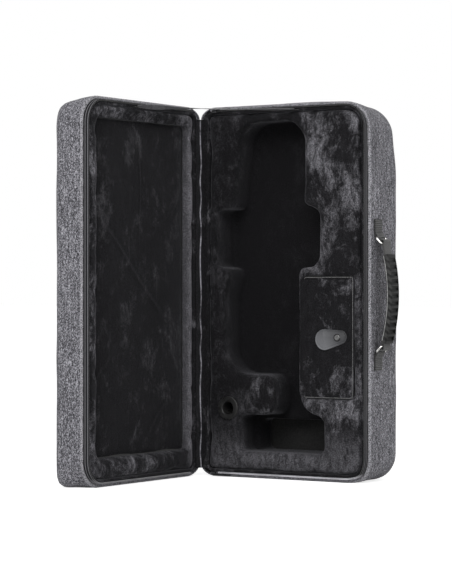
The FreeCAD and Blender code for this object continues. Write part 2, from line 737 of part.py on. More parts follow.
def stay():
    """Ribbon that stops the lid at a right angle, sewn to an anchor tab on each rim."""
    ribbon = doc.addObject("Part::Box", "stay_ribbon")
    ribbon.Label = "stay_ribbon"
    ribbon.Placement.Rotation = FreeCAD.Rotation(FreeCAD.Vector(0, 0, 1), 45)
    bind(ribbon, "Length", "stay_from_hinge * sqrt(2)")
    bind(ribbon, "Width", "stay_wide")
    bind(ribbon, "Height", "stay_thick")
    bind(ribbon, "Placement.Base.x", "-case_width / 2 + stay_wide / 2 * sqrt(0.5)")
    bind(ribbon, "Placement.Base.y", "-base_depth / 2 - stay_from_hinge - stay_wide / 2 * sqrt(0.5)")
    bind(ribbon, "Placement.Base.z", "case_height - stay_inset - stay_thick")
    NODES.append(ribbon)
    for label, stand, hinge in (("stay_anchor_base", in_base, -1), ("stay_anchor_lid", in_lid, 1)):
        anchor = new_body(label, stand)
        slab(anchor, label + "_tab", "anchor_wide", "anchor_thick", "fit_gap", "plush_setback - fit_gap",
             across="%d * (case_width / 2 - stay_from_hinge)" % hinge,
             up="case_height / 2 - stay_inset - stay_thick - anchor_thick / 2")


# ---------------------------------------------------------------- carrying handle

RING_STEP = "ring_long * sin(ring_angle * 1deg)"
RING_DROP = "ring_long * cos(ring_angle * 1deg)"
BAR_OUT = "(wall_bar_out + %s)" % RING_STEP
BAR_UP = "(wall_bar_up - %s)" % RING_DROP
LIFTED_SINE = "(sin(ring_angle * 1deg) + handle_lift / ring_long)"
EYE_TRAVEL = "(%s - ring_long * sqrt(1 - %s ^ 2))" % (RING_DROP, LIFTED_SINE)
STRAP_RADIUS = "((%s ^ 2 + strap_bow ^ 2) / (2 * strap_bow))" % BAR_UP
BEHIND_SIDE = "handle_behind - (%s) / 2"


def handle_tab(label, side):
    """Webbing folded round the ring's bar and sewn flat to the wall."""
    body = new_body(label, in_base)
    front = BEHIND_SIDE % "tab_strip_wide"
    bar = {"across": "case_width / 2 + wall_bar_out", "up": "%d * wall_bar_up - handle_below_middle" % side}
    disc(body, label + "_eye", "wire_radius + eye_play + eye_wall", front, "tab_strip_wide", **bar)
    slab(body, label + "_strip", "webbing_thick", "tab_strip_long", front, "tab_strip_wide",
         across="case_width / 2 + webbing_thick / 2",
         up="%d * (wall_bar_up + tab_strip_long / 2) - handle_below_middle" % side)
    disc(body, label + "_bore", "wire_radius + eye_play", front, "tab_strip_wide", cut=True, **bar)


def handle_ring(label, side):
    """Rectangular wire ring: four bars joined by quarter bends, lying out from the wall."""
    long_half = SIZES["ring_long"] / 2
    wide_half = SIZES["ring_half_wide"]
    bend = SIZES["ring_corner"]
    wire = SIZES["wire_radius"]
    inner_long = long_half - bend
    inner_wide = wide_half - bend
    pieces = []
    for sign in (-1, 1):
        end_bar = FreeCAD.Vector(sign * long_half, -inner_wide, 0)
        side_bar = FreeCAD.Vector(-inner_long, sign * wide_half, 0)
        pieces.append(Part.makeCylinder(wire, 2 * inner_wide, end_bar, FreeCAD.Vector(0, 1, 0)))
        pieces.append(Part.makeCylinder(wire, 2 * inner_long, side_bar, FreeCAD.Vector(1, 0, 0)))
    for quarter, (along, across) in enumerate([(1, 1), (-1, 1), (-1, -1), (1, -1)]):
        corner = Part.makeTorus(bend, wire, FreeCAD.Vector(), FreeCAD.Vector(0, 0, 1), 0, 360, 90)
        corner.rotate(FreeCAD.Vector(), FreeCAD.Vector(0, 0, 1), 90 * quarter)
        corner.translate(FreeCAD.Vector(along * inner_long, across * inner_wide, 0))
        pieces.append(corner)
    ring = doc.addObject("Part::Feature", label)
    ring.Label = label
    ring.Shape = pieces[0].multiFuse(pieces[1:]).removeSplitter()
    angle = SIZES["ring_angle"]
    lean = FreeCAD.Rotation(FreeCAD.Vector(0, 1, 0), side * (90 - angle))
    ring.Placement = FreeCAD.Placement(FreeCAD.Vector(), lean)
    bind(ring, "Placement.Base.x", "case_width / 2 + wall_bar_out + %s / 2" % RING_STEP)
    bind(ring, "Placement.Base.y", "-base_depth / 2 + handle_behind")
    bind(ring, "Placement.Base.z", "case_height / 2 - handle_below_middle + %d * (wall_bar_up - %s / 2)"
         % (side, RING_DROP))
    NODES.append(ring)


def at_bow_centre(part):
    """Frame of the handle: at the centre of the strap's bow, with x straight out through the grip."""
    in_base(part)
    bind(part, "Placement.Base.x", "case_width / 2 + %s + strap_bow - %s" % (BAR_OUT, STRAP_RADIUS))
    bind(part, "Placement.Base.y", "-base_depth / 2 + handle_behind")
    bind(part, "Placement.Base.z", "case_height / 2 - handle_below_middle")


def revolved(body, name, across, wide, high, turn, drop="0"):
    """A rectangle at a distance from the body's z axis, turned about it by an angle centred on x."""
    sketch = new_sketch(body, name + "_section", "XZ_Plane", across, "0", "0")
    rectangle(sketch, wide, high)
    feature = body.newObject("PartDesign::Revolution", name)
    feature.Profile = sketch
    axis = [item for item in body.Origin.OriginFeatures if item.Role == "Z_Axis"][0]
    feature.ReferenceAxis = (axis, [""])
    feature.Midplane = True
    bind(feature, "Angle", turn)
    doc.recompute()
    return feature


def handle_strap():
    """Webbing bowed out between the rings, with an eye at each end in which the bar can slide."""
    body = new_body("handle_strap", at_bow_centre)
    revolved(body, "strap_bow_band", STRAP_RADIUS, "webbing_thick", "strap_wide",
             "2 * asin(%s / %s)" % (BAR_UP, STRAP_RADIUS))
    bar_hole = "(wire_radius + strap_eye_play)"
    for side, word in ((1, "upper"), (-1, "lower")):
        obround(body, word + "_eye", "(%s + eye_wall)" % bar_hole, side)
    for side, word in ((1, "upper"), (-1, "lower")):
        obround(body, word + "_slot", bar_hole, side, cut=True)


def obround(body, name, radius, side, cut=False):
    """A round-ended prism across the strap, as long as the bar slides in the strap's eye."""
    front = "-strap_wide / 2"
    across = "%s - strap_bow" % STRAP_RADIUS
    slab(body, name, "2 * %s" % radius, EYE_TRAVEL, front, "strap_wide", across=across,
         up="%d * (%s + %s / 2)" % (side, BAR_UP, EYE_TRAVEL), cut=cut)
    for end, slid in (("_rest", "0"), ("_far", EYE_TRAVEL)):
        disc(body, name + end, radius, front, "strap_wide", across=across,
             up="%d * (%s + %s)" % (side, BAR_UP, slid), cut=cut)


def at_grip(part):
    """The handle's frame, turned down a little to the middle of the grip."""
    at_bow_centre(part)
    drop = FreeCAD.Rotation(FreeCAD.Vector(0, 1, 0), SIZES["grip_drop"])
    part.Placement.Rotation = drop.multiply(part.Placement.Rotation)


def handle_grip():
    """Moulded grip round the strap: a flat bowed bar with rounded edges and a row of scallops."""
    body = new_body("handle_grip", at_grip)
    solid = revolved(body, "grip_bar", "%s + (grip_outer - grip_inner) / 2" % STRAP_RADIUS,
                     "grip_outer + grip_inner", "grip_wide", "grip_angle")
    middle = (solid.Shape.BoundBox.ZMin + solid.Shape.BoundBox.ZMax) / 2

    def long_arc(radius_test):
        def test(edge):
            level = edge.BoundBox.ZLength < TOLERANCE and abs(edge.BoundBox.ZMin - middle) > TOLERANCE
            return level and edge.Curve.TypeId == "Part::GeomCircle" and radius_test(edge.Curve.Radius)
        return test

    radii = sorted({round(edge.Curve.Radius, 3) for edge in solid.Shape.Edges
                    if edge.Curve.TypeId == "Part::GeomCircle"})
    outer = fillet(body, "grip_outer_edges", solid,
                   edge_names(solid, long_arc(lambda radius: radius > radii[-1] - TOLERANCE * 10)),
                   "grip_outer_round")
    inner = fillet(body, "grip_inner_edges", outer,
                   edge_names(outer, long_arc(lambda radius: radius < radii[0] + TOLERANCE * 10)),
                   "grip_inner_round")
    slot_sketch = new_sketch(body, "strap_slot_section", "XZ_Plane", STRAP_RADIUS, "0", "0")
    rectangle(slot_sketch, "webbing_thick + 2 * rivet_play", "strap_wide + 2 * rivet_play")
    slot = body.newObject("PartDesign::Groove", "strap_slot")
    slot.Profile = slot_sketch
    axis = [item for item in body.Origin.OriginFeatures if item.Role == "Z_Axis"][0]
    slot.ReferenceAxis = (axis, [""])
    slot.Midplane = True
    bind(slot, "Angle", "grip_angle + 2")
    doc.recompute()
    first = "(-(scallop_count - 1) / 2 * scallop_pitch * 1deg)"
    reach = "(%s + grip_outer + scallop_radius - scallop_cut)" % STRAP_RADIUS
    scallop = disc(body, "scallop", "scallop_radius", "-(grip_wide / 2 - scallop_margin)",
                   "grip_wide - 2 * scallop_margin", across="%s * cos(%s)" % (reach, first),
                   up="%s * sin(%s)" % (reach, first), cut=True)
    row = body.newObject("PartDesign::PolarPattern", "scallops")
    row.Originals = [scallop]
    row.Axis = (axis, [""])
    bind(row, "Angle", "(scallop_count - 1) * scallop_pitch")
    bind(row, "Occurrences", "scallop_count")
    body.Tip = row
    doc.recompute()


# ---------------------------------------------------------------- zip sliders and pulls

SLIDER_HOME = "-case_width / 2 + hinge_corner_radius + slider_from_corner"


def slider(label, side):
    """Two plates joined by a thin post between the coils, with a bail over the outer one."""
    body = new_body(label, in_base)
    outer_face = "(case_height / 2 - tape_inset + slider_gap)"
    inner_face = "(case_height / 2 - (%s) - slider_gap)" % COIL_INNER

    def piece(name, long, low, high, wide):
        slab(body, label + name, long, "(%s) - (%s)" % (high, low), "-(%s) / 2" % wide, wide,
             across=SLIDER_HOME, up="%d * ((%s) + (%s)) / 2" % (side, low, high))

    piece("_post", "slider_post_long", inner_face, outer_face, "slider_post")
    piece("_outer_plate", "slider_long", outer_face, "%s + slider_plate" % outer_face, "slider_outer_wide")
    piece("_inner_plate", "slider_long", "%s - slider_plate" % inner_face, inner_face, "slider_inner_wide")
    bail_foot = "%s + slider_plate" % outer_face
    piece("_bail", "bail_long", bail_foot, "%s + bail_out" % bail_foot, "bail_wide")
    slab(body, label + "_bail_window", "bail_long - 2 * bail_thick", "bail_out - bail_thick",
         "-bail_wide / 2", "bail_wide", across=SLIDER_HOME,
         up="%d * (%s + (bail_out - bail_thick) / 2)" % (side, bail_foot), cut=True)


def pull(label, side):
    """Flat metal pull whose end bar turns under the slider's bail."""
    body = new_body(label, in_base)
    out = "(case_height / 2 - tape_inset + slider_gap + slider_plate + pull_out)"
    end = "pull_thick / 2"
    slab(body, label + "_plate", "pull_long + %s" % end, "pull_thick", "-pull_wide / 2", "pull_wide",
         across="%s + (pull_long - %s) / 2" % (SLIDER_HOME, end), up="%d * %s" % (side, out))
    slab(body, label + "_window", "pull_window_long", "pull_thick", "-pull_window_wide / 2",
         "pull_window_wide", across="%s + %s + pull_window_long / 2" % (SLIDER_HOME, end),
         up="%d * %s" % (side, out), cut=True)


# ---------------------------------------------------------------- patch pocket behind the base


def back_pocket():
    """Flat slip pocket over the base's back, with a bound hem along its open top."""
    body = new_body("back_pocket", in_base)
    slab(body, "pocket_patch", "pocket_wide", "pocket_top - pocket_bottom", "base_depth", "pocket_thick",
         up=from_floor("(pocket_top + pocket_bottom) / 2"))
    patch = body.Tip
    low = patch.Shape.BoundBox.YMin
    corners = [vertex.Point for vertex in patch.Shape.Vertexes if vertex.Point.y < low + TOLERANCE]
    corner_names = edge_names(patch, upright_at(corners))
    rounded = fillet(body, "pocket_corners", patch, corner_names, "pocket_corner")
    box = rounded.Shape.BoundBox
    fillet(body, "pocket_edges", rounded, edge_names(rounded, flat_within(box, box.ZMin)), "pocket_round")
    hem = new_body("pocket_hem_band", in_base)
    slab(hem, "hem_band", "pocket_wide - 2 * pocket_round", "pocket_hem", "base_depth + pocket_thick",
         "pocket_hem_thick", up=from_floor("pocket_top - pocket_round - pocket_hem / 2"))


# ---------------------------------------------------------------- build, check and write

half_shell("base", in_base, -1, "base_depth")
insert()
mouthpiece_holder()
compartment()
flap_strip()
pull_tab()
rivet()
back_pocket()
for word, side in (("upper", 1), ("lower", -1)):
    handle_tab("handle_tab_" + word, side)
    handle_ring("ring_" + word, side)
handle_strap()
handle_grip()
for word, side in (("top", 1), ("bottom", -1)):
    slider("slider_" + word, side)
    pull("pull_" + word, side)
half_shell("lid", in_lid, 1, "lid_depth")
lid_padding()
hinge_cloth()
stay()
doc.recompute()

failed = [item.Label for item in doc.Objects if "Invalid" in item.State or "Error" in item.State]
if failed:
    raise RuntimeError("these objects failed: " + ", ".join(failed))
for node in NODES:
    if node.Shape.isNull() or not node.Shape.isValid():
        raise RuntimeError("%s has no valid shape" % node.Label)

os.makedirs("parts", exist_ok=True)
for node in NODES:
    node.Shape.exportStep("parts/%s.step" % node.Label)
    box = node.Shape.BoundBox
    print("%-20s %d solid(s) %9.2f cm3   X %.1f..%.1f  Y %.1f..%.1f  Z %.1f..%.1f" % (
        node.Label, len(node.Shape.Solids), node.Shape.Volume / 1000,
        box.XMin, box.XMax, box.YMin, box.YMax, box.ZMin, box.ZMax))
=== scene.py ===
"""Soft zip-round trumpet case standing open at a right angle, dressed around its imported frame.

Lengths are metres.  A half of the case has its own frame: u runs across the mouth from the hinge,
v runs up from the floor, and z comes out of the mouth, whose plane is z = 0.
"""

import bmesh
import bpy
import math
import numpy as np
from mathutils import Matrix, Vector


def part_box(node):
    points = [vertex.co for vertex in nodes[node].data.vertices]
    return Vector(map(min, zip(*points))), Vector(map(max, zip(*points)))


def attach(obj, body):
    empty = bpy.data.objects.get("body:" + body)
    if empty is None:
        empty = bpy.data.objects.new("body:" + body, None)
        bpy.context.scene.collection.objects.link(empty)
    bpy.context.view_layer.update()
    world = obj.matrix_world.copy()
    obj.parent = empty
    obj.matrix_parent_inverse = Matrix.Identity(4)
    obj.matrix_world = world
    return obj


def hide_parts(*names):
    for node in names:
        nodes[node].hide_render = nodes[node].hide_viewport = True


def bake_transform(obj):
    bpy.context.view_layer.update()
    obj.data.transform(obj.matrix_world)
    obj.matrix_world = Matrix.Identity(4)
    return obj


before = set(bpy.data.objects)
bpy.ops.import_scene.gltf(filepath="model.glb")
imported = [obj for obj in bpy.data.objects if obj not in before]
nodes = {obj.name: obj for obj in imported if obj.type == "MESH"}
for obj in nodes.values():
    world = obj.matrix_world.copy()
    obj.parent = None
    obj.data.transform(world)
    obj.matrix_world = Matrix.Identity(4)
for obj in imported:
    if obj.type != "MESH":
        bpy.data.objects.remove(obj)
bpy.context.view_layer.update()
scene = bpy.context.scene
scene.view_settings.view_transform = "Standard"

# ---------------------------------------------------------------- camera and studio
# The case stands on a pale floor in even, soft light.  A long lens looks level at the open corner,
# from the side of the lid's free edge, so that both mouths are seen.

FOCAL_PIXELS, LONG_SIDE_PIXELS, SENSOR = 2200.0, 584.0, 36.0
CAMERA_AZIMUTH = math.radians(32.9)
CAMERA_TARGET = np.array([-0.0955, -0.048, 0.2696])
CAMERA_DISTANCE = 3.205
AMBIENT = 0.42


def added(name, data):
    """A new object of the scene."""
    item = bpy.data.objects.new(name, data)
    scene.collection.objects.link(item)
    return item


camera = added("camera", bpy.data.cameras.new("camera"))
scene.camera = camera
camera.data.sensor_width = SENSOR
camera.data.lens = FOCAL_PIXELS / LONG_SIDE_PIXELS * SENSOR
camera.data.clip_start = 0.1
towards_camera = np.array([math.sin(CAMERA_AZIMUTH), -math.cos(CAMERA_AZIMUTH), 0.0])
camera.location = CAMERA_TARGET + towards_camera * CAMERA_DISTANCE
camera.rotation_euler = (math.pi / 2, 0, CAMERA_AZIMUTH)

world = bpy.data.worlds.new("studio")
scene.world = world
world.use_nodes = True
sky, sky_links = world.node_tree.nodes, world.node_tree.links
ambient, backdrop = sky["Background"], sky.new("ShaderNodeBackground")
for glow, strength in ((ambient, AMBIENT), (backdrop, 1.0)):
    glow.inputs["Color"].default_value = (1.0, 1.0, 1.0, 1.0)
    glow.inputs["Strength"].default_value = strength
seen = sky.new("ShaderNodeLightPath")
direct = sky.new("ShaderNodeMath")
direct.operation = "MAXIMUM"
choose = sky.new("ShaderNodeMixShader")
for output, socket in ((seen.outputs["Is Camera Ray"], direct.inputs[0]),
                       (seen.outputs["Is Glossy Ray"], direct.inputs[1]),
                       (direct.outputs[0], choose.inputs["Fac"]),
                       (ambient.outputs[0], choose.inputs[1]), (backdrop.outputs[0], choose.inputs[2]),
                       (choose.outputs[0], sky["World Output"].inputs["Surface"])):
    sky_links.new(output, socket)


def softbox(name, place, aim, wide, high, power):
    """A rectangular area lamp that faces a point."""
    lamp = added(name, bpy.data.lights.new(name, "AREA"))
    lamp.data.shape = "RECTANGLE"
    lamp.data.size, lamp.data.size_y = wide, high
    lamp.data.energy = power
    lamp.location = place
    direction = lamp.location - type(lamp.location)(aim)
    lamp.rotation_euler = direction.to_track_quat("Z", "Y").to_euler()


softbox("key", (0.9, -2.6, 2.1), (0.0, -0.05, 0.27), 1.6, 1.6, 46.0)
softbox("fill", (2.4, -0.9, 0.9), (0.1, 0.0, 0.27), 1.4, 1.4, 16.0)
softbox("side", (-0.9, -2.8, 0.6), (-0.15, -0.2, 0.27), 1.2, 1.8, 14.0)


WAVE_PERIOD = 0.31416


class Finish:
    """A procedural material: one shader whose colour and bump grow from patterns on the object."""

    def __init__(self, name, roughness, **constants):
        self.material = bpy.data.materials.new(name)
        self.material.use_nodes = True
        self.tree = self.material.node_tree
        self.shader = self.tree.nodes["Principled BSDF"]
        self.shader.inputs["Roughness"].default_value = roughness
        for word, value in constants.items():
            socket = word.replace("_", " ").title().replace("Ior", "IOR")
            self.shader.inputs[socket].default_value = value
        self.place = self.tree.nodes.new("ShaderNodeTexCoord").outputs["Object"]
        self.height = None

    def add(self, kind, inputs=(), **settings):
        """A node with its settings made and its inputs set or linked, given by name or number."""
        node = self.tree.nodes.new("ShaderNode" + kind)
        for word, value in settings.items():
            setattr(node, word, value)
        for key, value in dict(inputs).items():
            if isinstance(value, bpy.types.NodeSocket):
                self.tree.links.new(value, node.inputs[key])
            else:
                node.inputs[key].default_value = value
        return node

    def stretched(self, scale, turn=(0, 0, 0)):
        """The pattern's coordinates, turned and then scaled by three numbers."""
        mapping = self.add("Mapping", {"Vector": self.place, "Scale": scale, "Rotation": turn})
        return mapping.outputs["Vector"]

    def noise(self, scale, detail=2.0, place=None, rough=0.5, swirl=0.0):
        spots = self.add("TexNoise", {"Vector": place or self.place, "Scale": scale, "Detail": detail,
                                      "Roughness": rough, "Distortion": swirl})
        return spots.outputs["Fac"]

    def bands(self, pitch, direction):
        """Sine bands one pitch apart along an axis.  At a scale of 1 they are WAVE_PERIOD apart."""
        wave = self.add("TexWave", {"Vector": self.place, "Scale": WAVE_PERIOD / pitch},
                        bands_direction=direction)
        return wave.outputs["Fac"]

    def sum(self, first, second, operation="ADD"):
        return self.add("Math", {0: first, 1: second}, operation=operation).outputs[0]

    def times(self, first, second):
        return self.sum(first, second, "MULTIPLY")

    def past(self, axis, start, span=1.0):
        """How far a point of the object lies past a place along an axis, in spans."""
        spot = self.add("SeparateXYZ", {"Vector": self.place})
        return self.times(self.sum(spot.outputs[axis], -float(start)), 1 / float(span))

    def charted(self, axis, scale):
        """A coordinate of the piece's chart, scaled."""
        chart = self.add("SeparateXYZ", {"Vector": self.add("UVMap").outputs["UV"]})
        return self.times(chart.outputs[axis], scale)

    def ribs(self, axis, pitch):
        """A sine wave along an axis of the piece's chart."""
        return self.sum(self.charted(axis, 2 * math.pi / pitch), 0.0, "SINE")

    def graded(self, share, *stops):
        """Colours between stops of (share, grey or colour)."""
        ramp = self.add("ValToRGB", {"Fac": share})
        band = ramp.color_ramp.elements
        while len(band) < len(stops):
            band.new(0.5)
        for stop, (position, colour) in zip(band, stops):
            stop.position = position
            stop.color = (*colour, 1) if isinstance(colour, tuple) else (colour, colour, colour, 1)
        return ramp.outputs["Color"]

    def mixed(self, share, first, second, blend="MIX"):
        node = self.add("Mix", {0: share}, data_type="RGBA", blend_type=blend)
        for number, value in ((6, first), (7, second)):
            if isinstance(value, bpy.types.NodeSocket):
                self.tree.links.new(value, node.inputs[number])
            else:
                node.inputs[number].default_value = (*value, 1)
        return node.outputs[2]

    def coloured(self, colour):
        self.tree.links.new(colour, self.shader.inputs["Base Color"])

    def speckled(self, scale, detail, *stops):
        """Colour the surface by noise, graded between stops, and return the noise."""
        spots = self.noise(scale, detail)
        self.coloured(self.graded(spots, *stops))
        return spots

    def overlaid(self, share, colour, pattern, *stops, blend="OVERLAY"):
        """A colour with a graded pattern blended over it."""
        return self.mixed(share, colour, self.graded(pattern, *stops), blend)

    def roughened(self, pattern, *stops):
        self.tree.links.new(self.graded(pattern, *stops), self.shader.inputs["Roughness"])

    def bumped(self, height, depth, strength=1.0):
        """Relief of a pattern, added over any relief given before."""
        settings = {"Height": height, "Distance": depth, "Strength": strength}
        if self.height is not None:
            settings["Normal"] = self.height
        self.height = self.add("Bump", settings).outputs["Normal"]
        self.tree.links.new(self.height, self.shader.inputs["Normal"])

    def grainy(self, scale, depth, strength=1.0):
        self.bumped(self.noise(scale), depth, strength)


# The floor is a sheet of pale paper.  Seen directly it is nearly white, and it keeps the case's
# soft shadow.

FLOOR_REACH, FLOOR_GLOW = 30.0, 0.72

floor_mesh = bpy.data.meshes.new("floor")
floor_mesh.from_pydata([(right * FLOOR_REACH, far * FLOOR_REACH, 0)
                        for right, far in ((-1, -1), (1, -1), (1, 1), (-1, 1))], [], [(0, 1, 2, 3)])
floor = added("floor", floor_mesh)
paper = Finish("floor_paper", 0.9)
paper.speckled(40.0, 2.0, (0.0, 0.78), (1.0, 0.82))
seen_directly = paper.add("LightPath").outputs["Is Camera Ray"]
paper.tree.links.new(seen_directly, paper.shader.inputs["Emission Strength"])
paper.shader.inputs["Emission Color"].default_value = (FLOOR_GLOW, FLOOR_GLOW, FLOOR_GLOW, 1)
floor.data.materials.append(paper.material)

# ---------------------------------------------------------------- outer covers
# Each half is a tray of grey melange canvas drawn over a stiff board.  Its sides stop short of the
# mouth, where the zip is sewn in, and only the hinge side runs on to the hinge.

cover_low, cover_high = (np.array(corner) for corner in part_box("base_cover"))
lid_low, lid_high = (np.array(corner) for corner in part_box("lid_cover"))
HINGE_X, MOUTH_Y = cover_low[0], lid_high[1]
WIDE, TALL = cover_high[0] - cover_low[0], cover_high[2] - cover_low[2]
DEEP = {"base": cover_high[1] - MOUTH_Y, "lid": HINGE_X - lid_low[0]}
HINGE_ROUND, FREE_ROUND, BACK_ROUND = 0.018, 0.038, 0.017
ARC_STEPS, SIDE_STEPS, END_STEPS = 10, 90, 40
COVER_THICK, COVER_EDGE, HINGE_EDGE = 0.0015, -0.0098, -0.0015


def joined(*parts):
    """Points from their coordinates, each an array or one number."""
    return np.stack(np.broadcast_arrays(*parts), -1)


def way_round():
    """Stations on the way round a half: centre u, centre v, radius, outward angle, height share.

    The path joins four quarter circles by straight runs.  It leaves the lower end of the hinge side,
    passes the bottom, the free side and the top, and comes back down the hinge side.
    """
    corners = np.array([(HINGE_ROUND, HINGE_ROUND, HINGE_ROUND),
                        (WIDE - FREE_ROUND, FREE_ROUND, FREE_ROUND),
                        (WIDE - FREE_ROUND, TALL - FREE_ROUND, FREE_ROUND),
                        (HINGE_ROUND, TALL - HINGE_ROUND, HINGE_ROUND)])
    shares = (0.0, 0.0, 1.0, 1.0)
    turn = np.linspace(0, math.pi / 2, ARC_STEPS, endpoint=False)
    legs = []
    for number, steps in enumerate((END_STEPS, SIDE_STEPS, END_STEPS, SIDE_STEPS)):
        after = (number + 1) % 4
        along = np.linspace(0, 1, steps, endpoint=False)
        start = math.pi + number * math.pi / 2
        straight = corners[number][:, None] + (corners[after] - corners[number])[:, None] * along
        legs += [joined(*corners[number], start + turn, shares[number]),
                 joined(*straight, start + math.pi / 2,
                        shares[number] + (shares[after] - shares[number]) * along)]
    return np.vstack(legs + [legs[0][:1]])


CENTRE_U, CENTRE_V, RADIUS, ANGLE, SHARE = way_round().T
CENTRE = joined(CENTRE_U, CENTRE_V)
OUTWARD = joined(np.cos(ANGLE), np.sin(ANGLE))
HINGE_SHARE = np.clip(-OUTWARD[:, 0], 0, 1) ** 2
SPINE = joined(WIDE / 2, WIDE / 2 + (TALL - WIDE) * SHARE)


def run_along(points):
    """Length of the way from the first point of a row to each point."""
    return np.concatenate([[0], np.cumsum(np.linalg.norm(np.diff(points, axis=0), axis=1))])


def rim(inset, stations=slice(None)):
    """Points (u, v) of the way round, at an inset from the walls."""
    return CENTRE[stations] + (RADIUS[stations] - inset)[..., None] * OUTWARD[stations]


RIM_LENGTH = run_along(rim(0))


def rings(inset):
    """Stations (u, v) at each inset; past the back's round they close on its middle line."""
    edge = np.minimum(inset, BACK_ROUND)[:, None]
    pull = (inset[:, None] - edge)[..., None] / (WIDE / 2 - BACK_ROUND)
    points = rim(edge)
    return points + (SPINE - points) * pull


def smooth(value, low, high):
    """0 below low, 1 above high, and an S-curve between them."""
    share = np.clip((value - low) / (high - low), 0, 1)
    return share * share * (3 - 2 * share)


def squared_corner(points, middle, sign, amount):
    """Move of the points round a free corner that draws it out towards a square.

    Each point moves out along its ray from the middle of the corner's round, up to where the sixth
    powers of its direction's two shares add up to one.  `amount` is the share of that move.
    """
    off_u = np.maximum(points[..., 0] - (WIDE - FREE_ROUND), 0)
    off_v = np.maximum(sign * (points[..., 1] - middle), 0)
    reach = np.maximum(np.hypot(off_u, off_v), 1e-9)
    powers = np.clip((off_u / reach) ** 6 + (off_v / reach) ** 6, 0.25, 1)
    pull = amount * (powers ** (-1 / 6) - 1)
    return joined(pull * off_u, pull * off_v * sign, 0.0)


CORNER_TUCK, CORNER_DROOP = 0.0075, 0.0085
TOP_BOW, HINGE_DIP, LOWER_DRAW = 0.0026, 0.0012, 0.45
LID_DRAW, LID_DROOP = 0.5, 0.0065
DENT_PITCH, DENT_DEEP, DENT_AT, DENT_HALF = 0.023, 0.0011, -0.036, 0.009


def slumped_base(points):
    """The base's soft lean: its far upper corner is worn round, its lower one is drawn out at the
    mouth, and its ends are bowed a little.  The corner keeps its place where the zip's coil runs.
    """
    u, v, z = np.moveaxis(points, -1, 0)
    corner = smooth(u, 0.19, 0.285) * smooth(v, 0.42, 0.545)
    corner *= 0.2 * smooth(-z, 0.002, 0.012) + 0.8 * smooth(-z, 0.0, 0.09)
    behind_zip = smooth(v, 0.44, 0.54) * smooth(-z, 0.012, 0.030)
    bow = TOP_BOW * np.sin(math.pi * smooth(u, 0.03, 0.26)) - HINGE_DIP * (1 - smooth(u, 0.0, 0.05))
    drawn = LOWER_DRAW * (1 - smooth(-z, 0.010, 0.060))
    moved = points + squared_corner(points, FREE_ROUND, -1, drawn)
    moved[..., 0] -= CORNER_TUCK * corner
    moved[..., 1] += behind_zip * bow - CORNER_DROOP * corner
    return moved


def slumped_lid(points):
    """The lid's free corners are round at the mouth and squarer at its back, its top droops behind the
    mouth, and its side has a row of shallow dents.
    """
    u, v, z = np.moveaxis(points, -1, 0)
    at_back = smooth(-z, 0.008, 0.046)
    moved = points + squared_corner(points, TALL - FREE_ROUND, 1, LID_DRAW * at_back) \
        + squared_corner(points, FREE_ROUND, -1, at_back)
    droop = smooth(-z, 0.010, 0.056) * smooth(v, 0.43, 0.53) * smooth(u, 0.06, 0.24)
    moved[..., 1] -= LID_DROOP * droop
    dents = np.cos(math.pi * v / DENT_PITCH) ** 6 * smooth(v, 0.19, 0.23) * (1 - smooth(v, 0.36, 0.42))
    dents *= smooth(u, 0.262, 0.279) * np.exp(-((z - DENT_AT) / DENT_HALF) ** 2)
    moved[..., 0] -= DENT_DEEP * dents
    return moved


def in_base(points):
    """The base's frame in the case's: u is +X, v is +Z and z is -Y."""
    u, v, z = np.moveaxis(slumped_base(points), -1, 0)
    return joined(HINGE_X + u, MOUTH_Y - z, v)


def in_lid(points):
    """The open lid's frame in the case's: u is -Y, v is +Z and z is +X."""
    u, v, z = np.moveaxis(slumped_lid(points), -1, 0)
    return joined(HINGE_X + z, MOUTH_Y - u, v)


HALVES = {"base": in_base, "lid": in_lid}


def skin(name, points, chart=None, sharp=50.0):
    """Object over a grid of points (rows, columns, 3), seams merged and faces turned outwards.

    The chart (rows, columns, 2), in metres along the cloth, becomes its UV map.
    """
    rows, columns = points.shape[:2]
    corner = np.arange(rows * columns).reshape(rows, columns)
    faces = np.stack([corner[:-1, :-1], corner[:-1, 1:], corner[1:, 1:], corner[1:, :-1]], -1)
    faces = faces.reshape(-1, 4)
    mesh = bpy.data.meshes.new(name)
    mesh.vertices.add(rows * columns)
    mesh.vertices.foreach_set("co", points.astype(np.float32).ravel())
    mesh.loops.add(faces.size)
    mesh.loops.foreach_set("vertex_index", faces.astype(np.int32).ravel())
    mesh.polygons.add(len(faces))
    mesh.polygons.foreach_set("loop_start", np.arange(0, faces.size, 4, dtype=np.int32))
    mesh.update(calc_edges=True)
    if chart is not None:
        spots = chart.reshape(-1, 2)[faces.ravel()].astype(np.float32)
        mesh.uv_layers.new(name="cloth").data.foreach_set("uv", spots.ravel())
    form = bmesh.new()
    form.from_mesh(mesh)
    bmesh.ops.remove_doubles(form, verts=form.verts, dist=1e-6)
    bmesh.ops.dissolve_degenerate(form, edges=form.edges, dist=1e-7)
    bmesh.ops.recalc_face_normals(form, faces=form.faces)
    form.to_mesh(mesh)
    form.free()
    mesh.polygons.foreach_set("use_smooth", np.ones(len(mesh.polygons), bool))
    mesh.set_sharp_from_angle(angle=math.radians(sharp))
    return added(name, mesh)


def dress(piece, body, finish, slot, *replaced):
    """Give a piece its finish; the slot is not used.  It rides on its body, if it has one, and stands
    for nodes.
    """
    piece.data.materials.clear()
    piece.data.materials.append(finish.material)
    if body:
        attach(piece, body)
    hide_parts(*replaced)
    return piece


def quarter(radius, deep, steps=6):
    """Profile (inset, z) of the round between a half's back and its walls."""
    turn = np.linspace(0, math.pi / 2, steps + 1)
    return joined(BACK_ROUND - radius * np.sin(turn), -deep + radius * (1 - np.cos(turn)))


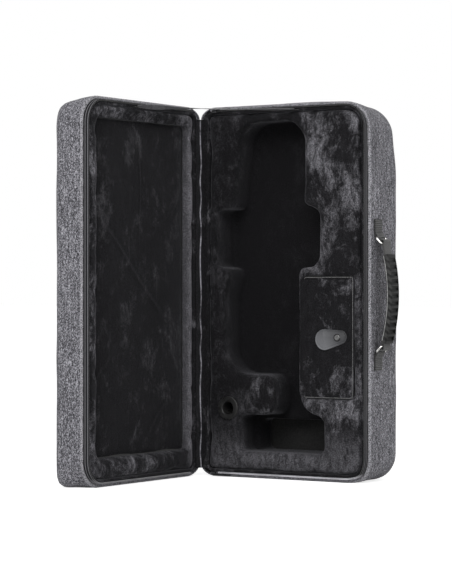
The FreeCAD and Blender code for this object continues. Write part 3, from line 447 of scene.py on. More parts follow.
def wall_profile(thick_from, thick_to, deep, edge):
    """Closed profile (inset, z) of a tray's skin between two depths below the cover's face."""
    faces = []
    for inset in (thick_from, thick_to):
        bottom = deep - inset
        round_off = quarter(BACK_ROUND - inset, bottom)
        back = joined(np.linspace(WIDE / 2, BACK_ROUND, 14)[:-1], -bottom)
        wall = joined(inset, np.linspace(round_off[-1, 1], edge, 13)[1:])
        faces.append(np.vstack([back, round_off, wall]))
    return np.vstack([faces[0], faces[1][::-1]])


def tray(profile, relief=0.0, lift=0.0):
    """Points of a tray: a profile (inset, z) carried round a half.

    `relief` scales soft dents along the outer face.  Rows near the mouth rise by `lift` at the hinge.
    """
    inset, z = profile.T
    flat = rings(inset)
    near_mouth = smooth(z, -0.014, COVER_EDGE)[:, None]
    height = z[:, None] + lift * near_mouth * HINGE_SHARE
    points = joined(*np.moveaxis(flat, -1, 0), height)
    if relief:
        slope = np.gradient(profile, axis=0)
        slope /= np.maximum(np.hypot(*slope.T), 1e-9)[:, None]
        u, v = flat[..., 0], flat[..., 1]
        dents = (np.sin(v * 31 + z[:, None] * 40 + 1.3) * np.sin(u * 27 + 0.7 + v * 9)
                 + 0.6 * np.sin(v * 67 + 2.1 + u * 13) * np.sin(z[:, None] * 75 + v * 12))
        outer = (np.arange(len(z)) < len(z) / 2)[:, None]
        free = smooth(-z, 0.012, 0.03)[:, None]
        amount = relief * np.where(dents > 0, dents, 0.35 * dents) * outer * free
        points[..., :2] += (slope[:, 1, None] * amount)[..., None] * OUTWARD
        points[..., 2] += slope[:, 0, None] * amount
    return points


def rolled_out(profile):
    """Chart of a tray: the way round, and the way along the profile."""
    return joined(RIM_LENGTH, run_along(profile)[:, None])


THREAD_PITCH = 0.0011
canvas = Finish("grey_melange_canvas", 0.9, sheen_weight=0.06, sheen_roughness=0.5)
flecks = canvas.noise(760.0, 4.0, canvas.stretched((1.0, 1.0, 0.55)), 0.8)
slubs = canvas.noise(240.0, 3.0, canvas.stretched((1.6, 1.6, 0.16)), 0.65)
cloudy = canvas.noise(24.0, 4.0, rough=0.6)
threads = canvas.times(canvas.bands(THREAD_PITCH, "X"), canvas.bands(THREAD_PITCH, "Z"))
threads = canvas.times(threads, canvas.bands(THREAD_PITCH, "Y"))
grain = canvas.graded(flecks, (0.40, (0.010, 0.010, 0.013)), (0.50, (0.105, 0.103, 0.118)),
                      (0.60, (0.470, 0.464, 0.505)))
grain = canvas.overlaid(0.75, grain, slubs, (0.38, 0.18), (0.62, 0.78), blend="SOFT_LIGHT")
grain = canvas.overlaid(0.55, grain, cloudy, (0.32, 0.26), (0.68, 0.66), blend="SOFT_LIGHT")
canvas.coloured(canvas.overlaid(0.25, grain, threads, (0.0, 0.30), (1.0, 0.75)))
canvas.bumped(threads, 0.0004, 0.5)
canvas.bumped(flecks, 0.0008, 0.6)
canvas.bumped(cloudy, 0.0015, 0.35)

felt = Finish("board_felt", 0.95)
felt.speckled(600.0, 3.0, (0.3, 0.006), (0.7, 0.020))
felt.grainy(500.0, 0.0005)

BOARD_FROM, BOARD_TO, BOARD_EDGE = 0.0017, 0.0103, -0.0128
COVER_RELIEF = 0.0007
for half, place in HALVES.items():
    profile = wall_profile(0.0, COVER_THICK, DEEP[half], COVER_EDGE)
    points = tray(profile, COVER_RELIEF, HINGE_EDGE - COVER_EDGE)
    cover = skin(half + "_outer_cover", place(points), rolled_out(profile))
    dress(cover, half, canvas, "outer_fabric", half + "_cover")
    profile = wall_profile(BOARD_FROM, BOARD_TO, DEEP[half], BOARD_EDGE)
    board = skin(half + "_stiffening_board", place(tray(profile)), rolled_out(profile))
    dress(board, half, felt, "board_foam", half + "_board")

# ---------------------------------------------------------------- lining
# A tray of black velour glued inside the board.  Its lip is turned out over a soft cord, so that it
# stands as a roll beside the zip.

LINING_FROM, LINING_TO, LINING_THICK, BACK_LINING = 0.0105, 0.0114, 0.0008, 0.0058
LIP_OUT, LIP_IN, LIP_TOP, LIP_BASE = 0.0070, 0.0114, -0.0026, -0.0052
LIP_PLUMP, LIP_DIP, LIP_AT_HINGE = 0.0005, 0.0002, 0.0008


def velour_finish(name, crushed, lit, front=None, wear_and_sheen=None, seam=0.0):
    """Black crushed velour: dark upright pile with paler ragged patches where it lies flat.

    `crushed` is the share of flattened pile and `lit` how pale it looks.  `front` is (axis, place,
    depth) of the plush's face: well behind it the pale patches fade out, a painted shade of the recess.
    The fifth argument is (axis, place, span, most, least): past that place up to that share of the
    pile is painted pale, which on the lid's frame is a painted sheen on the recess's hinge-side wall.
    `seam` is the half width of a pale ridge along the middle of a strip.
    """
    finish = Finish(name, 0.9, sheen_weight=0.22, sheen_roughness=0.35, specular_ior_level=0.15)
    finish.shader.inputs["Sheen Tint"].default_value = (0.68, 0.68, 0.74, 1)
    nap = finish.noise(760.0, 3.0, rough=0.65)
    patches = finish.noise(21.0, 12.0, finish.stretched((1.0, 1.0, 0.75), (0.2, 0.6, 0.3)), 0.80, 0.3)
    strokes = finish.noise(110.0, 8.0, finish.stretched((1.0, 1.0, 0.40), (0.1, 0.7, 0.5)), 0.8, 0.3)
    edge = 0.70 - 0.22 * crushed
    flat = finish.times(finish.graded(patches, (edge - 0.05, 0.04), (edge + 0.06, 1.0)),
                        finish.graded(strokes, (0.42, 0.12), (0.60, 1.0)))
    # Deep behind the face the pale patches fade, a painted shade of the recess.  On a face across Y
    # they thin out towards the hinge too, and the pile painted pale past a place fades with the same
    # depth.
    if front:
        shallow = finish.graded(finish.past(*front), (0.50, 1.0), (1.0, 0.05))
        pale_pile = finish.graded(strokes, (0.40, wear_and_sheen[4]), (0.58, wear_and_sheen[3]))
        pale_pile = finish.times(pale_pile, finish.graded(finish.past(*wear_and_sheen[:3]), (0.0, 0.0), (1.0, 1.0)))
        if front[0] == "Y":
            from_hinge = finish.past("X", HINGE_X, WIDE)
            flat = finish.times(flat, finish.graded(from_hinge, (0.18, 0.22), (0.50, 1.0)))
            pale_pile = finish.times(pale_pile, shallow)
        flat = finish.sum(finish.times(flat, shallow), pale_pile, "MAXIMUM")
    upright = finish.graded(nap, (0.34, (0.0012, 0.0012, 0.0014)), (0.68, (0.0120, 0.0116, 0.0134)))
    lying = finish.graded(nap, (0.34, (0.035 * lit, 0.034 * lit, 0.039 * lit)),
                          (0.66, (0.270 * lit, 0.265 * lit, 0.290 * lit)))
    pile = finish.mixed(flat, upright, lying)
    if seam:
        aside = finish.sum(finish.charted("X", 1 / seam), 0.0, "ABSOLUTE")
        ridge = finish.times(finish.graded(aside, (0.5, 1.0), (1.0, 0.0)),
                             finish.graded(strokes, (0.42, 0.12), (0.54, 1.0)))
        pale = finish.graded(nap, (0.34, (0.13, 0.13, 0.15)), (0.66, (0.50, 0.49, 0.54)))
        pile = finish.mixed(ridge, pile, pale)
    finish.coloured(pile)
    finish.roughened(flat, (0.0, 0.95), (1.0, 0.7))
    finish.bumped(nap, 0.0007, 0.7)
    finish.bumped(strokes, 0.0016, 0.3)
    return finish


PLUSH_BACK = 0.0045
velour = velour_finish("black_crushed_velour", 0.58, 1.0)
# The well's plush is painted darker deep in its recesses (painted shade) and paler towards its foot.
# The lid frame's plush is painted darker deep in the lid's recess (painted shade) and pale on the
# recess's hinge-side wall (painted sheen).
well_velour = velour_finish("black_well_velour", 0.82, 1.0, ("Y", MOUTH_Y + PLUSH_BACK, 0.030),
                            ("Z", 0.090, -0.060, 0.58, 0.14))
frame_velour = velour_finish("black_frame_velour", 0.76, 1.25, ("X", HINGE_X - PLUSH_BACK, -0.012),
                             ("Y", -0.076, 0.016, 1.0, 0.62))
hinge_velour = velour_finish("black_hinge_velour", 0.40, 0.6, seam=0.0016)
calm_velour = velour_finish("black_brushed_velour", 0.62, 0.36)


def lining_profile(deep):
    """Closed profile (inset, z) of the lining: outer face, the roll of the lip, inner face."""
    bottom = deep - BACK_LINING
    outer = quarter(BACK_ROUND - LINING_FROM, bottom, 4)
    inner = quarter(BACK_ROUND - LINING_TO, bottom - LINING_THICK, 4)
    turn = np.linspace(0, math.pi, 9)
    middle, half_wide = (LIP_OUT + LIP_IN) / 2, (LIP_IN - LIP_OUT) / 2
    roll = joined(middle - half_wide * np.cos(turn), LIP_BASE + (LIP_TOP - LIP_BASE) * np.sin(turn))
    flange = np.array([[LINING_FROM, LIP_BASE - 0.0012], [LIP_OUT, LIP_BASE - 0.0010]])
    inwards = np.linspace(BACK_ROUND, WIDE / 2, 8)[1:]
    return np.vstack([joined(inwards[::-1], -bottom), outer, flange, roll, inner[::-1],
                      joined(inwards, -bottom + LINING_THICK)])


for half, place in HALVES.items():
    profile = lining_profile(DEEP[half])
    points = tray(profile)
    lip = smooth(profile[:, 1], LIP_BASE - 0.002, LIP_BASE)[:, None]
    plump = LIP_PLUMP * np.sin(RIM_LENGTH * 210) * np.sin(RIM_LENGTH * 57 + 1) - LIP_DIP
    points[..., 2] += lip * (plump * (1 - HINGE_SHARE) + LIP_AT_HINGE * HINGE_SHARE)
    lining = skin(half + "_velour_lining", place(points), rolled_out(profile), 80.0)
    dress(lining, half, velour, "plush", half + "_lining")

# ---------------------------------------------------------------- piping
# The canvas is turned over a cord where it meets the zip and stitched down, which leaves a roll
# round the three zipped sides.

PIPING_INSET, PIPING_Z, PIPING_HALF_WIDE, PIPING_HALF_HIGH = 0.00235, -0.0106, 0.0026, 0.0021
PUCKER = 0.00022
ZIPPED = np.arange(ARC_STEPS - 3, len(RIM_LENGTH) - SIDE_STEPS - ARC_STEPS + 3)


def capped(wall):
    """Grid of a tube's wall, its two ends closed to their middles."""
    ends = [np.broadcast_to(wall[:, number].mean(axis=0), (len(wall), 1, 3)) for number in (0, -1)]
    return np.concatenate([ends[0], wall, ends[1]], 1)


def rim_bar(section, stations):
    """Closed bar with a ring-shaped section (inset, z) carried along part of the rim."""
    inset, z = section[..., None]
    return capped(joined(*np.moveaxis(rim(inset, stations), -1, 0), z))


turn = np.linspace(0, 2 * math.pi, 13)
hem = Finish("turned_hem", 0.88, sheen_weight=0.3, sheen_roughness=0.5)
hem_grain = hem.noise(640.0, 4.0, rough=0.8)
hem_colour = hem.graded(hem_grain, (0.40, (0.020, 0.020, 0.024)), (0.60, (0.460, 0.455, 0.490)))
puckers = hem.noise(160.0, 2.0)
hem.coloured(hem.overlaid(0.5, hem_colour, puckers, (0.35, 0.33), (0.65, 0.62)))
hem.bumped(hem_grain, 0.0005, 0.6)
hem.bumped(puckers, 0.0012, 0.5)
bar = rim_bar(np.array([PIPING_INSET - PIPING_HALF_WIDE * np.cos(turn),
                        PIPING_Z + PIPING_HALF_HIGH * np.sin(turn)]), ZIPPED)
bar[:, 1:-1, 2] += PUCKER * np.sin(RIM_LENGTH[ZIPPED] * 900)
for half, place in HALVES.items():
    piping = skin(half + "_hem_roll", place(bar), sharp=85.0)
    dress(piping, half, hem, "outer_fabric", half + "_piping")

# ---------------------------------------------------------------- zip
# Woven tape stands up from the hem round three sides, with a moulded coil sewn to its edge.

TAPE_INSET, TAPE_THICK, TAPE_TOP, TAPE_FOOT = 0.0050, 0.0006, -0.0006, -0.0125
COIL_INSET, COIL_Z, COIL_WIDE, COIL_HIGH = 0.0062, -0.0019, 0.00085, 0.0011
COIL_PITCH, COIL_WIRE = 0.0016, 0.00028
ZIP_FROM, FLOOR_LIGHT_HIGH = 0.014, 0.014

zip_span = np.flatnonzero(rim(TAPE_INSET)[:, 0] > ZIP_FROM)
zip_span = zip_span[(zip_span > ARC_STEPS) & (zip_span < len(RIM_LENGTH) - SIDE_STEPS - ARC_STEPS)]


def lit_from_floor(finish, colour, share):
    """Colour painted pale along the foot, a painted highlight of light thrown up by the floor,
    strongest on the base.
    """
    low = finish.graded(finish.past("Z", 0.0, FLOOR_LIGHT_HIGH), (0.45, share), (1.0, 0.0))
    beside = finish.graded(finish.past("X", HINGE_X, FLOOR_LIGHT_HIGH), (0.0, 0.30), (0.5, 1.0))
    patchy = finish.graded(finish.noise(50.0, 6.0), (0.35, 0.75), (0.55, 1.0))
    return finish.mixed(finish.times(finish.times(low, beside), patchy), colour, (0.80, 0.79, 0.84))


tape_cloth = Finish("zip_tape_cloth", 0.85, sheen_weight=0.05, sheen_roughness=0.5,
                    specular_ior_level=0.2)
ribs, twill = tape_cloth.ribs("Y", 0.0046), tape_cloth.ribs("X", 0.0009)
lines = tape_cloth.graded(ribs, (0.2, (0.012, 0.012, 0.014)), (0.70, (0.034, 0.034, 0.038)),
                          (0.98, (0.230, 0.228, 0.240)))
lines = tape_cloth.overlaid(0.5, lines, tape_cloth.noise(1200.0), (0.3, 0.3), (0.7, 0.7))
tape_cloth.coloured(lit_from_floor(tape_cloth, lines, 0.95))
tape_cloth.bumped(ribs, 0.0004, 0.6)
tape_cloth.bumped(twill, 0.0002, 0.4)

coil_plastic = Finish("zip_coil_nylon", 0.38, specular_ior_level=0.5)
nylon = coil_plastic.graded(coil_plastic.noise(700.0), (0.3, 0.080), (0.7, 0.150))
coil_plastic.coloured(lit_from_floor(coil_plastic, nylon, 1.0))
coil_plastic.grainy(2500.0, 0.0001, 0.4)


def tube(path, side, lift, radius, sides=6):
    """Tube round a path (n, 3), its section spanned by two directions, its ends closed to points."""
    turn = np.linspace(0, 2 * math.pi, sides + 1)[:, None, None]
    wall = path + (np.cos(turn) * side + np.sin(turn) * lift) * radius
    ends = [np.broadcast_to(path[number], (sides + 1, 1, 3)) for number in (0, -1)]
    return np.concatenate([ends[0], wall, ends[1]], 1)


def coil_points():
    """Helix of one wire along the tape: it turns round a line beside the rim, once per pitch."""
    line = rim(COIL_INSET, zip_span)
    run = run_along(line)
    fine = np.arange(0, run[-1], COIL_PITCH / 8)
    u, v, out_u, out_v = (np.interp(fine, run, row) for row in (*line.T, *OUTWARD[zip_span].T))
    phase = fine * 2 * math.pi / COIL_PITCH
    away = joined(np.cos(phase) * out_u, np.cos(phase) * out_v, np.sin(phase))
    path = joined(u, v, COIL_Z) + away * (COIL_WIDE, COIL_WIDE, COIL_HIGH)
    return tube(path, away, joined(-out_v, out_u, 0.0), COIL_WIRE, 5)


rise = np.linspace(TAPE_FOOT, TAPE_TOP, 6)
section = np.array([TAPE_INSET + TAPE_THICK * np.array([0] * 6 + [1] * 6 + [0.5, 0]),
                    [*rise, *rise[::-1], TAPE_FOOT - 0.0001, TAPE_FOOT]])
chart = joined(np.pad(RIM_LENGTH[zip_span], 1, "edge"), run_along(section.T)[:, None])
for half, place in HALVES.items():
    tape = skin(half + "_tape", place(rim_bar(section, zip_span)), chart, 40.0)
    dress(tape, half, tape_cloth, "zip_tape", half + "_zip_tape")
    coil = skin(half + "_coil", place(coil_points()), sharp=180.0)
    dress(coil, half, coil_plastic, "zip_coil", half + "_zip_coil")

# ---------------------------------------------------------------- foam insert of the base
# A thick block of foam under velour, cut out for a trumpet: a long well with side pockets for the
# valves and bows, and a deeper pocket for the bell.  The pile is pulled into it and creases at turns.

INSERT_VOXEL, INSERT_ROUNDS, INSERT_CAP, INSERT_RISE, RUMPLE = 0.0042, 7, 0.0024, 0.0008, 0.0005
INSERT_CREASES = (
    ((0.186, 0.494), (0.232, 0.494), 0.0026, 0.0011), ((0.232, 0.494), (0.243, 0.512), 0.0026, 0.0010),
    ((0.200, 0.178), (0.224, 0.178), 0.0024, 0.0009), ((0.212, 0.178), (0.211, 0.166), 0.0024, 0.0009),
    ((0.256, 0.118), (0.276, 0.110), 0.0028, 0.0012), ((0.222, 0.088), (0.268, 0.094), 0.0030, 0.0010),
    ((0.226, 0.068), (0.270, 0.071), 0.0030, 0.0010), ((0.216, 0.050), (0.262, 0.046), 0.0030, 0.0009),
    ((0.030, 0.270), (0.012, 0.262), 0.0028, 0.0008), ((0.150, 0.530), (0.166, 0.512), 0.0030, 0.0010),
    ((0.052, 0.500), (0.030, 0.520), 0.0032, 0.0010), ((0.214, 0.330), (0.262, 0.322), 0.0032, 0.0008),
)


def merged_copy(name, *sources):
    """One new mesh object from copies of CAD nodes, with each copy's loose triangles joined up."""
    form = bmesh.new()
    for source in sources:
        form.from_mesh(nodes[source].data)
    bmesh.ops.remove_doubles(form, verts=form.verts, dist=1e-6)
    mesh = bpy.data.meshes.new(name)
    form.to_mesh(mesh)
    form.free()
    return added(name, mesh)


def settle(piece):
    """Replace a piece's mesh by what its modifiers make of it, and clear them."""
    shaped = bpy.data.meshes.new_from_object(piece.evaluated_get(bpy.context.evaluated_depsgraph_get()))
    piece.modifiers.clear()
    piece.data = shaped
    return piece


def places(piece, layer="co"):
    """A piece's points (n, 3), or their normals."""
    flat = np.empty(len(piece.data.vertices) * 3, np.float32)
    piece.data.vertices.foreach_get(layer, flat)
    return flat.reshape(-1, 3).astype(float)


def turned_to(piece, axis, sign, low=0.3, high=0.9):
    """How squarely each point of a piece looks along an axis of the case, from 0 to 1."""
    return smooth(sign * places(piece, "normal")[:, axis], low, high)


def put(piece, points):
    piece.data.vertices.foreach_set("co", points.astype(np.float32).ravel())
    piece.data.update()


def put_smooth(piece, points):
    put(piece, points)
    piece.data.polygons.foreach_set("use_smooth", np.ones(len(piece.data.polygons), bool))


def rounded_foam(piece, voxel, rounds):
    """Remesh a block in voxels and relax it, which rounds its edges by a few millimetres."""
    remesh = piece.modifiers.new("voxels", "REMESH")
    remesh.mode, remesh.voxel_size = "VOXEL", voxel
    settle(piece)
    relax = piece.modifiers.new("relax", "SMOOTH")
    relax.factor, relax.iterations = 0.5, rounds
    return settle(piece)


BAG = {"vertex_group_mass": "glued", "quality": 4, "mass": 0.3, "use_pressure": True,
       "uniform_pressure_force": 4.0, "shrink_min": -0.02, "bending_stiffness": 0.4}
BAG_FRAMES, GLUED_BELOW = 20, 0.02


def swelled(piece, loose, cap):
    """Swell a block as a sewn bag.  `loose` is each point's share of the move, and `cap` its limit."""
    start = places(piece)
    pins = piece.vertex_groups.new(name="glued")
    pins.add(np.flatnonzero(loose < GLUED_BELOW).tolist(), 1.0, "REPLACE")
    bag = piece.modifiers.new("bag", "CLOTH").settings
    for word, value in BAG.items():
        setattr(bag, word, value)
    bag.effector_weights.gravity = 0
    for number in range(1, BAG_FRAMES + 1):
        scene.frame_set(number)
    settle(piece)
    scene.frame_set(1)
    moved = places(piece) - start
    reach = np.linalg.norm(moved, axis=1, keepdims=True)
    moved *= np.minimum(1.0, cap / np.maximum(reach, 1e-9))
    put(piece, start + moved * loose[:, None])
    piece.vertex_groups.clear()
    return piece


def refined(piece):
    finer = piece.modifiers.new("finer", "SUBSURF")
    finer.levels = finer.render_levels = 1
    return settle(piece)


def ridges(across, up, creases):
    """Height of creases: soft-ended, wavering ridges (start, end, half width, height)."""
    height = np.zeros_like(across)
    for (a_across, a_up), (b_across, b_up), half_wide, high in creases:
        along_across, along_up = b_across - a_across, b_up - a_up
        length = math.hypot(along_across, along_up)
        share = ((across - a_across) * along_across + (up - a_up) * along_up) / length**2
        off = ((across - a_across) * along_up - (up - a_up) * along_across) / length
        off += 0.0012 * np.sin(share * 9 + 40 * length)
        fade = smooth(share, -0.12, 0.12) * (1 - smooth(share, 0.88, 1.12))
        off /= half_wide
        height += high * fade * (np.exp(-off**2) - 0.5 * np.exp(-((off - 2) ** 2)))
    return height


def from_base(world_points):
    """Points of the case in the base's frame (u, v, z)."""
    x, y, up = world_points.T
    return joined(x - HINGE_X, up, MOUTH_Y - y)


def from_lid(world_points):
    x, y, up = world_points.T
    return joined(MOUTH_Y - y, up, x - HINGE_X)


def spans(box, convert):
    """A box's extents along u, v and z of a half's frame, each as (low, high)."""
    return np.sort(convert(np.array(box)), axis=0).T


insert = merged_copy("foam_insert", "insert_upper", "insert_lower")
rounded_foam(insert, INSERT_VOXEL, INSERT_ROUNDS)
holder_u, holder_v, _ = spans(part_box("mouthpiece_holder"), from_base).mean(axis=1)
u, v, z = from_base(places(insert)).T
loose = smooth(z, -0.030, -0.008) * turned_to(insert, 1, -1, -0.4, 0.4)
loose *= 0.15 + 0.85 * smooth(np.hypot(u - holder_u, v - holder_v), 0.018, 0.030)
refined(swelled(insert, loose, INSERT_CAP))
local = from_base(places(insert))
u, v, z = local.T
shown = turned_to(insert, 1, -1) * smooth(z, -0.012, -0.006) \
    * smooth(np.hypot(u - holder_u, v - holder_v), 0.019, 0.029)
rumple = np.sin(u * 61 + 1.1 * np.sin(v * 23)) * np.sin(v * 47 + 2.0)
z += shown * (ridges(u, v, INSERT_CREASES) + INSERT_RISE)
z += shown * RUMPLE * rumple
put_smooth(insert, in_base(local))
dress(insert, "base", well_velour, "plush", "insert_upper", "insert_lower")

# ---------------------------------------------------------------- lid padding
# A plush-covered foam frame is glued round a shallow recess.  The recess's floor is a thin padded
# panel, and plain foam fills the space behind.

FRAME_CREASES = (
    ((0.020, 0.512), (0.060, 0.520), 0.0030, 0.0011), ((0.120, 0.524), (0.160, 0.515), 0.0030, 0.0012),
    ((0.262, 0.402), (0.276, 0.404), 0.0028, 0.0010), ((0.262, 0.200), (0.276, 0.192), 0.0028, 0.0009),
)
PANEL_CREASES = (
    ((0.230, 0.421), (0.163, 0.423), 0.0030, 0.0006), ((0.131, 0.500), (0.131, 0.344), 0.0016, 0.0003),
    ((0.230, 0.375), (0.084, 0.242), 0.0034, 0.0006), ((0.060, 0.120), (0.110, 0.072), 0.0032, 0.0005),
    ((0.205, 0.180), (0.236, 0.150), 0.0030, 0.0005),
)
PANEL_CROWN, PANEL_UNDER = 0.0026, 0.0004
FRAME_VOXEL, FRAME_ROUNDS, FRAME_CAP, FRAME_RISE = 0.0040, 5, 0.0035, 0.0010
RECESS_TOP, RECESS_FREE, RECESS_LIFT, RECESS_SAG, RECESS_TUCK = 0.512, 0.252, 0.0070, 0.0022, 0.0036

lid_frame = rounded_foam(merged_copy("lid_foam_frame", "lid_frame"), FRAME_VOXEL, FRAME_ROUNDS)
refined(swelled(lid_frame, smooth(from_lid(places(lid_frame))[:, 2], -0.020, -0.009), FRAME_CAP))
local = from_lid(places(lid_frame))
u, v, z = local.T
z += turned_to(lid_frame, 0, 1) * (ridges(u, v, FRAME_CREASES) + FRAME_RISE)
top_edge = np.exp(-((v - RECESS_TOP) / 0.010) ** 2)
top_edge *= smooth(u, 0.02, 0.05) * (1 - smooth(u, 0.22, 0.255))
free_edge = np.exp(-((u - RECESS_FREE) / 0.008) ** 2)
ragged = 0.4 * np.sin(u * 150 + 0.8) + 0.5 * np.sin(u * 330 + 2.2)
at_front = smooth(z, -0.013, -0.006)
v += at_front * top_edge * (RECESS_LIFT - RECESS_SAG * ragged)
u -= at_front * free_edge * RECESS_TUCK
put_smooth(lid_frame, in_lid(local))
dress(lid_frame, "lid", frame_velour, "plush", "lid_frame")


def pillow(across, along, back, front, crown, columns, rows):
    """Closed pad over a rectangle: two grids that meet at its edge, the front one crowned.

    The front stands by crown x (1 - |s|^6)(1 - |t|^6), s and t running from -1 to 1.
    """
    s, t = np.meshgrid(np.linspace(-1, 1, columns), np.linspace(-1, 1, rows))
    u, v = across.mean() + s * np.ptp(across) / 2, along.mean() + t * np.ptp(along) / 2
    drop = (front - back) * smooth(np.maximum(np.abs(s), np.abs(t)), 0.985, 1.0)
    face = joined(u, v, front - drop + crown * (1 - np.abs(s) ** 6) * (1 - np.abs(t) ** 6))
    return face, joined(u, v, back)


panel_u, panel_v, panel_z = spans(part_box("lid_panel"), from_lid)
face, rear = pillow(panel_u, panel_v, panel_z[0], panel_z[1] - PANEL_UNDER, PANEL_CROWN, 150, 280)
u, v, z = np.moveaxis(face, -1, 0)
z += ridges(u, v, PANEL_CREASES)
z += RUMPLE * np.sin(u * 55 + 2 * np.sin(v * 19)) * np.sin(v * 33)
panel = skin("lid_recess_panel", in_lid(np.concatenate([face, rear[::-1]], 0)), sharp=180.0)
dress(panel, "lid", calm_velour, "plush", "lid_panel")

open_cell = Finish("open_cell_foam", 0.95)
open_cell.speckled(900.0, 3.0, (0.3, 0.03), (0.7, 0.09))
open_cell.grainy(700.0, 0.0008)
backing = rounded_foam(merged_copy("lid_backing_foam", "lid_foam"), 0.0050, 2)
put(backing, in_lid(from_lid(places(backing))))
dress(backing, "lid", open_cell, "inner_foam", "lid_foam")

# ---------------------------------------------------------------- mouthpiece holder
# A turned black plastic cup is pushed into the foam, its flange lying on the pile.

glossy_plastic = Finish("turned_black_plastic", 0.3, specular_ior_level=0.5)
scuffs = glossy_plastic.speckled(160.0, 4.0, (0.3, 0.010), (0.75, 0.026))
glossy_plastic.roughened(scuffs, (0.3, 0.22), (0.7, 0.42))
glossy_plastic.grainy(900.0, 0.0001, 0.4)


def finish_node(name, finish, bevel=0.0):
    """Give a CAD node its finish, and break its sharp edges by a fine bevel."""
    node = nodes[name]
    for slot in node.material_slots:
        slot.material = finish.material
    if bevel:
        edge = node.modifiers.new("broken_edges", "BEVEL")
        edge.width, edge.segments, edge.limit_method = bevel, 2, "ANGLE"
        edge.angle_limit = math.radians(40)
        edge.use_clamp_overlap = True


finish_node("mouthpiece_holder", glossy_plastic)

# ---------------------------------------------------------------- accessory compartment
# A moulded tray is let into the foam under a padded velour flap.  The flap turns on a glued velour
# strip, and a leather tab on a domed rivet pulls it open.

FLAP_CROWN, FLAP_SEAM, FLAP_ROUND, CORNER_PULL = 0.0012, 0.0034, 0.003, 0.0009
SEAM_DEEP, STITCH_DEEP, STITCH_PITCH = 0.0007, 0.0004, 0.0042

flap_u, flap_v, flap_z = spans(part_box("flap_panel"), from_base)
face, rear = pillow(flap_u, flap_v, *flap_z, FLAP_CROWN, 110, 230)
u, v, z = np.moveaxis(face, -1, 0)
from_edge = np.min([u - flap_u[0], flap_u[1] - u, v - flap_v[0], flap_v[1] - v], axis=0)
stitch = 0.5 + 0.5 * np.sin((u + v) * 2 * math.pi / STITCH_PITCH)
z -= (SEAM_DEEP + STITCH_DEEP * stitch) * np.exp(-((from_edge - FLAP_SEAM) / 0.0009) ** 2)
z += 0.0004 * np.sin(u * 90 + 2 * np.sin(v * 41)) * smooth(from_edge, 0.004, 0.02)
shell = np.concatenate([face, rear[::-1]], 0)
for side, (across, along) in enumerate(((flap_u, flap_v), (flap_v, flap_u))):
    half_long, middle = np.ptp(along) / 2, across.mean()
    near_end = smooth(np.abs(shell[..., 1 - side] - along.mean()), half_long - FLAP_ROUND, half_long)
    pull = near_end * CORNER_PULL / abs(flap_u[1] - middle)
    shell[..., side] -= (shell[..., side] - middle) * pull
flap = skin("compartment_flap", in_base(shell), sharp=180.0)
dress(flap, "flap", velour, "plush", "flap_panel")

CORD_RADIUS, CORD_BEND = 0.0006, 0.003
around = (np.arange(4)[:, None] * math.pi / 2 + np.linspace(0, math.pi / 2, 7)).ravel()
outward = joined(np.cos(around), np.sin(around), 0.0)
half_wide, half_high = np.ptp(flap_u) / 2 - CORD_BEND, np.ptp(flap_v) / 2 - CORD_BEND
path = joined(flap_u.mean() + np.repeat([1, -1, -1, 1], 7) * half_wide,
              flap_v.mean() + np.repeat([1, 1, -1, -1], 7) * half_high,
              flap_z[1] - CORD_RADIUS) + (CORD_BEND - CORD_RADIUS) * outward
path, outward = (np.vstack([row, row[:1]]) for row in (path, outward))
cord = tube(path, outward, np.array([0, 0, 1]), CORD_RADIUS)
piping_cloth = Finish("flap_piping_cloth", 0.85, sheen_weight=0.3, sheen_roughness=0.4)
piping_cloth.speckled(700.0, 3.0, (0.35, 0.045), (0.65, 0.200))
piping_cloth.grainy(1500.0, 0.0002, 0.5)
dress(skin("flap_edge_cord", in_base(cord), sharp=180.0), "flap", piping_cloth, "plush")

tray_plastic = Finish("vacuum_formed_tray", 0.55, specular_ior_level=0.4)
tray_plastic.speckled(240.0, 3.0, (0.3, 0.016), (0.7, 0.032))
tray_plastic.grainy(1300.0, 0.0002, 0.5)
finish_node("compartment_tray", tray_plastic)


def band(path, facing, across, thick, wide, columns=12, closed=False):
    """Strip of cloth: a flat section, thick by wide with rounded edges, carried along a path (n, 3).

    Returns its grid of points and its chart, along the path and across the strip.
    """
    half_wide, half_thick = wide / 2 - thick / 2, thick / 2
    flat = np.linspace(-1, 1, columns)
    turn = np.linspace(-math.pi / 2, math.pi / 2, 5)[1:-1]
    bulge = half_wide + half_thick * np.cos(turn)
    side = np.concatenate([flat * half_wide, bulge, flat[::-1] * half_wide, -bulge, [-half_wide]])
    rise = half_thick * np.concatenate([np.full(columns, -1), np.sin(turn), np.ones(columns),
                                        -np.sin(turn), [-1]])
    grid = path + side[:, None, None] * across + rise[:, None, None] * facing
    run = run_along(path)
    if not closed:
        grid, run = capped(grid), np.pad(run, 1, "edge")
    return grid, joined(run, side[:, None])


STRIP_THICK, STRIP_RISE = 0.0006, -0.0039
FIRST, SECOND, THIRD = np.eye(3)
strip_u, strip_v, _ = spans(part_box("flap_hinge_strip"), from_base)
path = joined(strip_u.mean(), np.linspace(*strip_v, 60), STRIP_RISE)
grid, chart = band(path, THIRD, FIRST, STRIP_THICK, np.ptp(strip_u), 14)
grid[..., 2] += 0.0005 * np.exp(-((grid[..., 0] - strip_u.mean()) / 0.002) ** 2)
hinge_strip = skin("flap_velour_hinge", in_base(grid), chart, 60.0)
dress(hinge_strip, None, velour, "plush", "flap_hinge_strip")
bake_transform(hinge_strip)

TAB_LONG, TAB_WIDE, TAB_NARROW, TAB_PAST, TAB_SEAM = 0.051, 0.030, 0.020, 0.0055, 0.0022
TAB_TILT, TAB_SEAM_DEEP, TAB_CURL, TAB_DOME = math.radians(8.0), 0.0005, 0.0016, 0.0011
rivet_at = np.mean(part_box("tab_rivet"), axis=0)

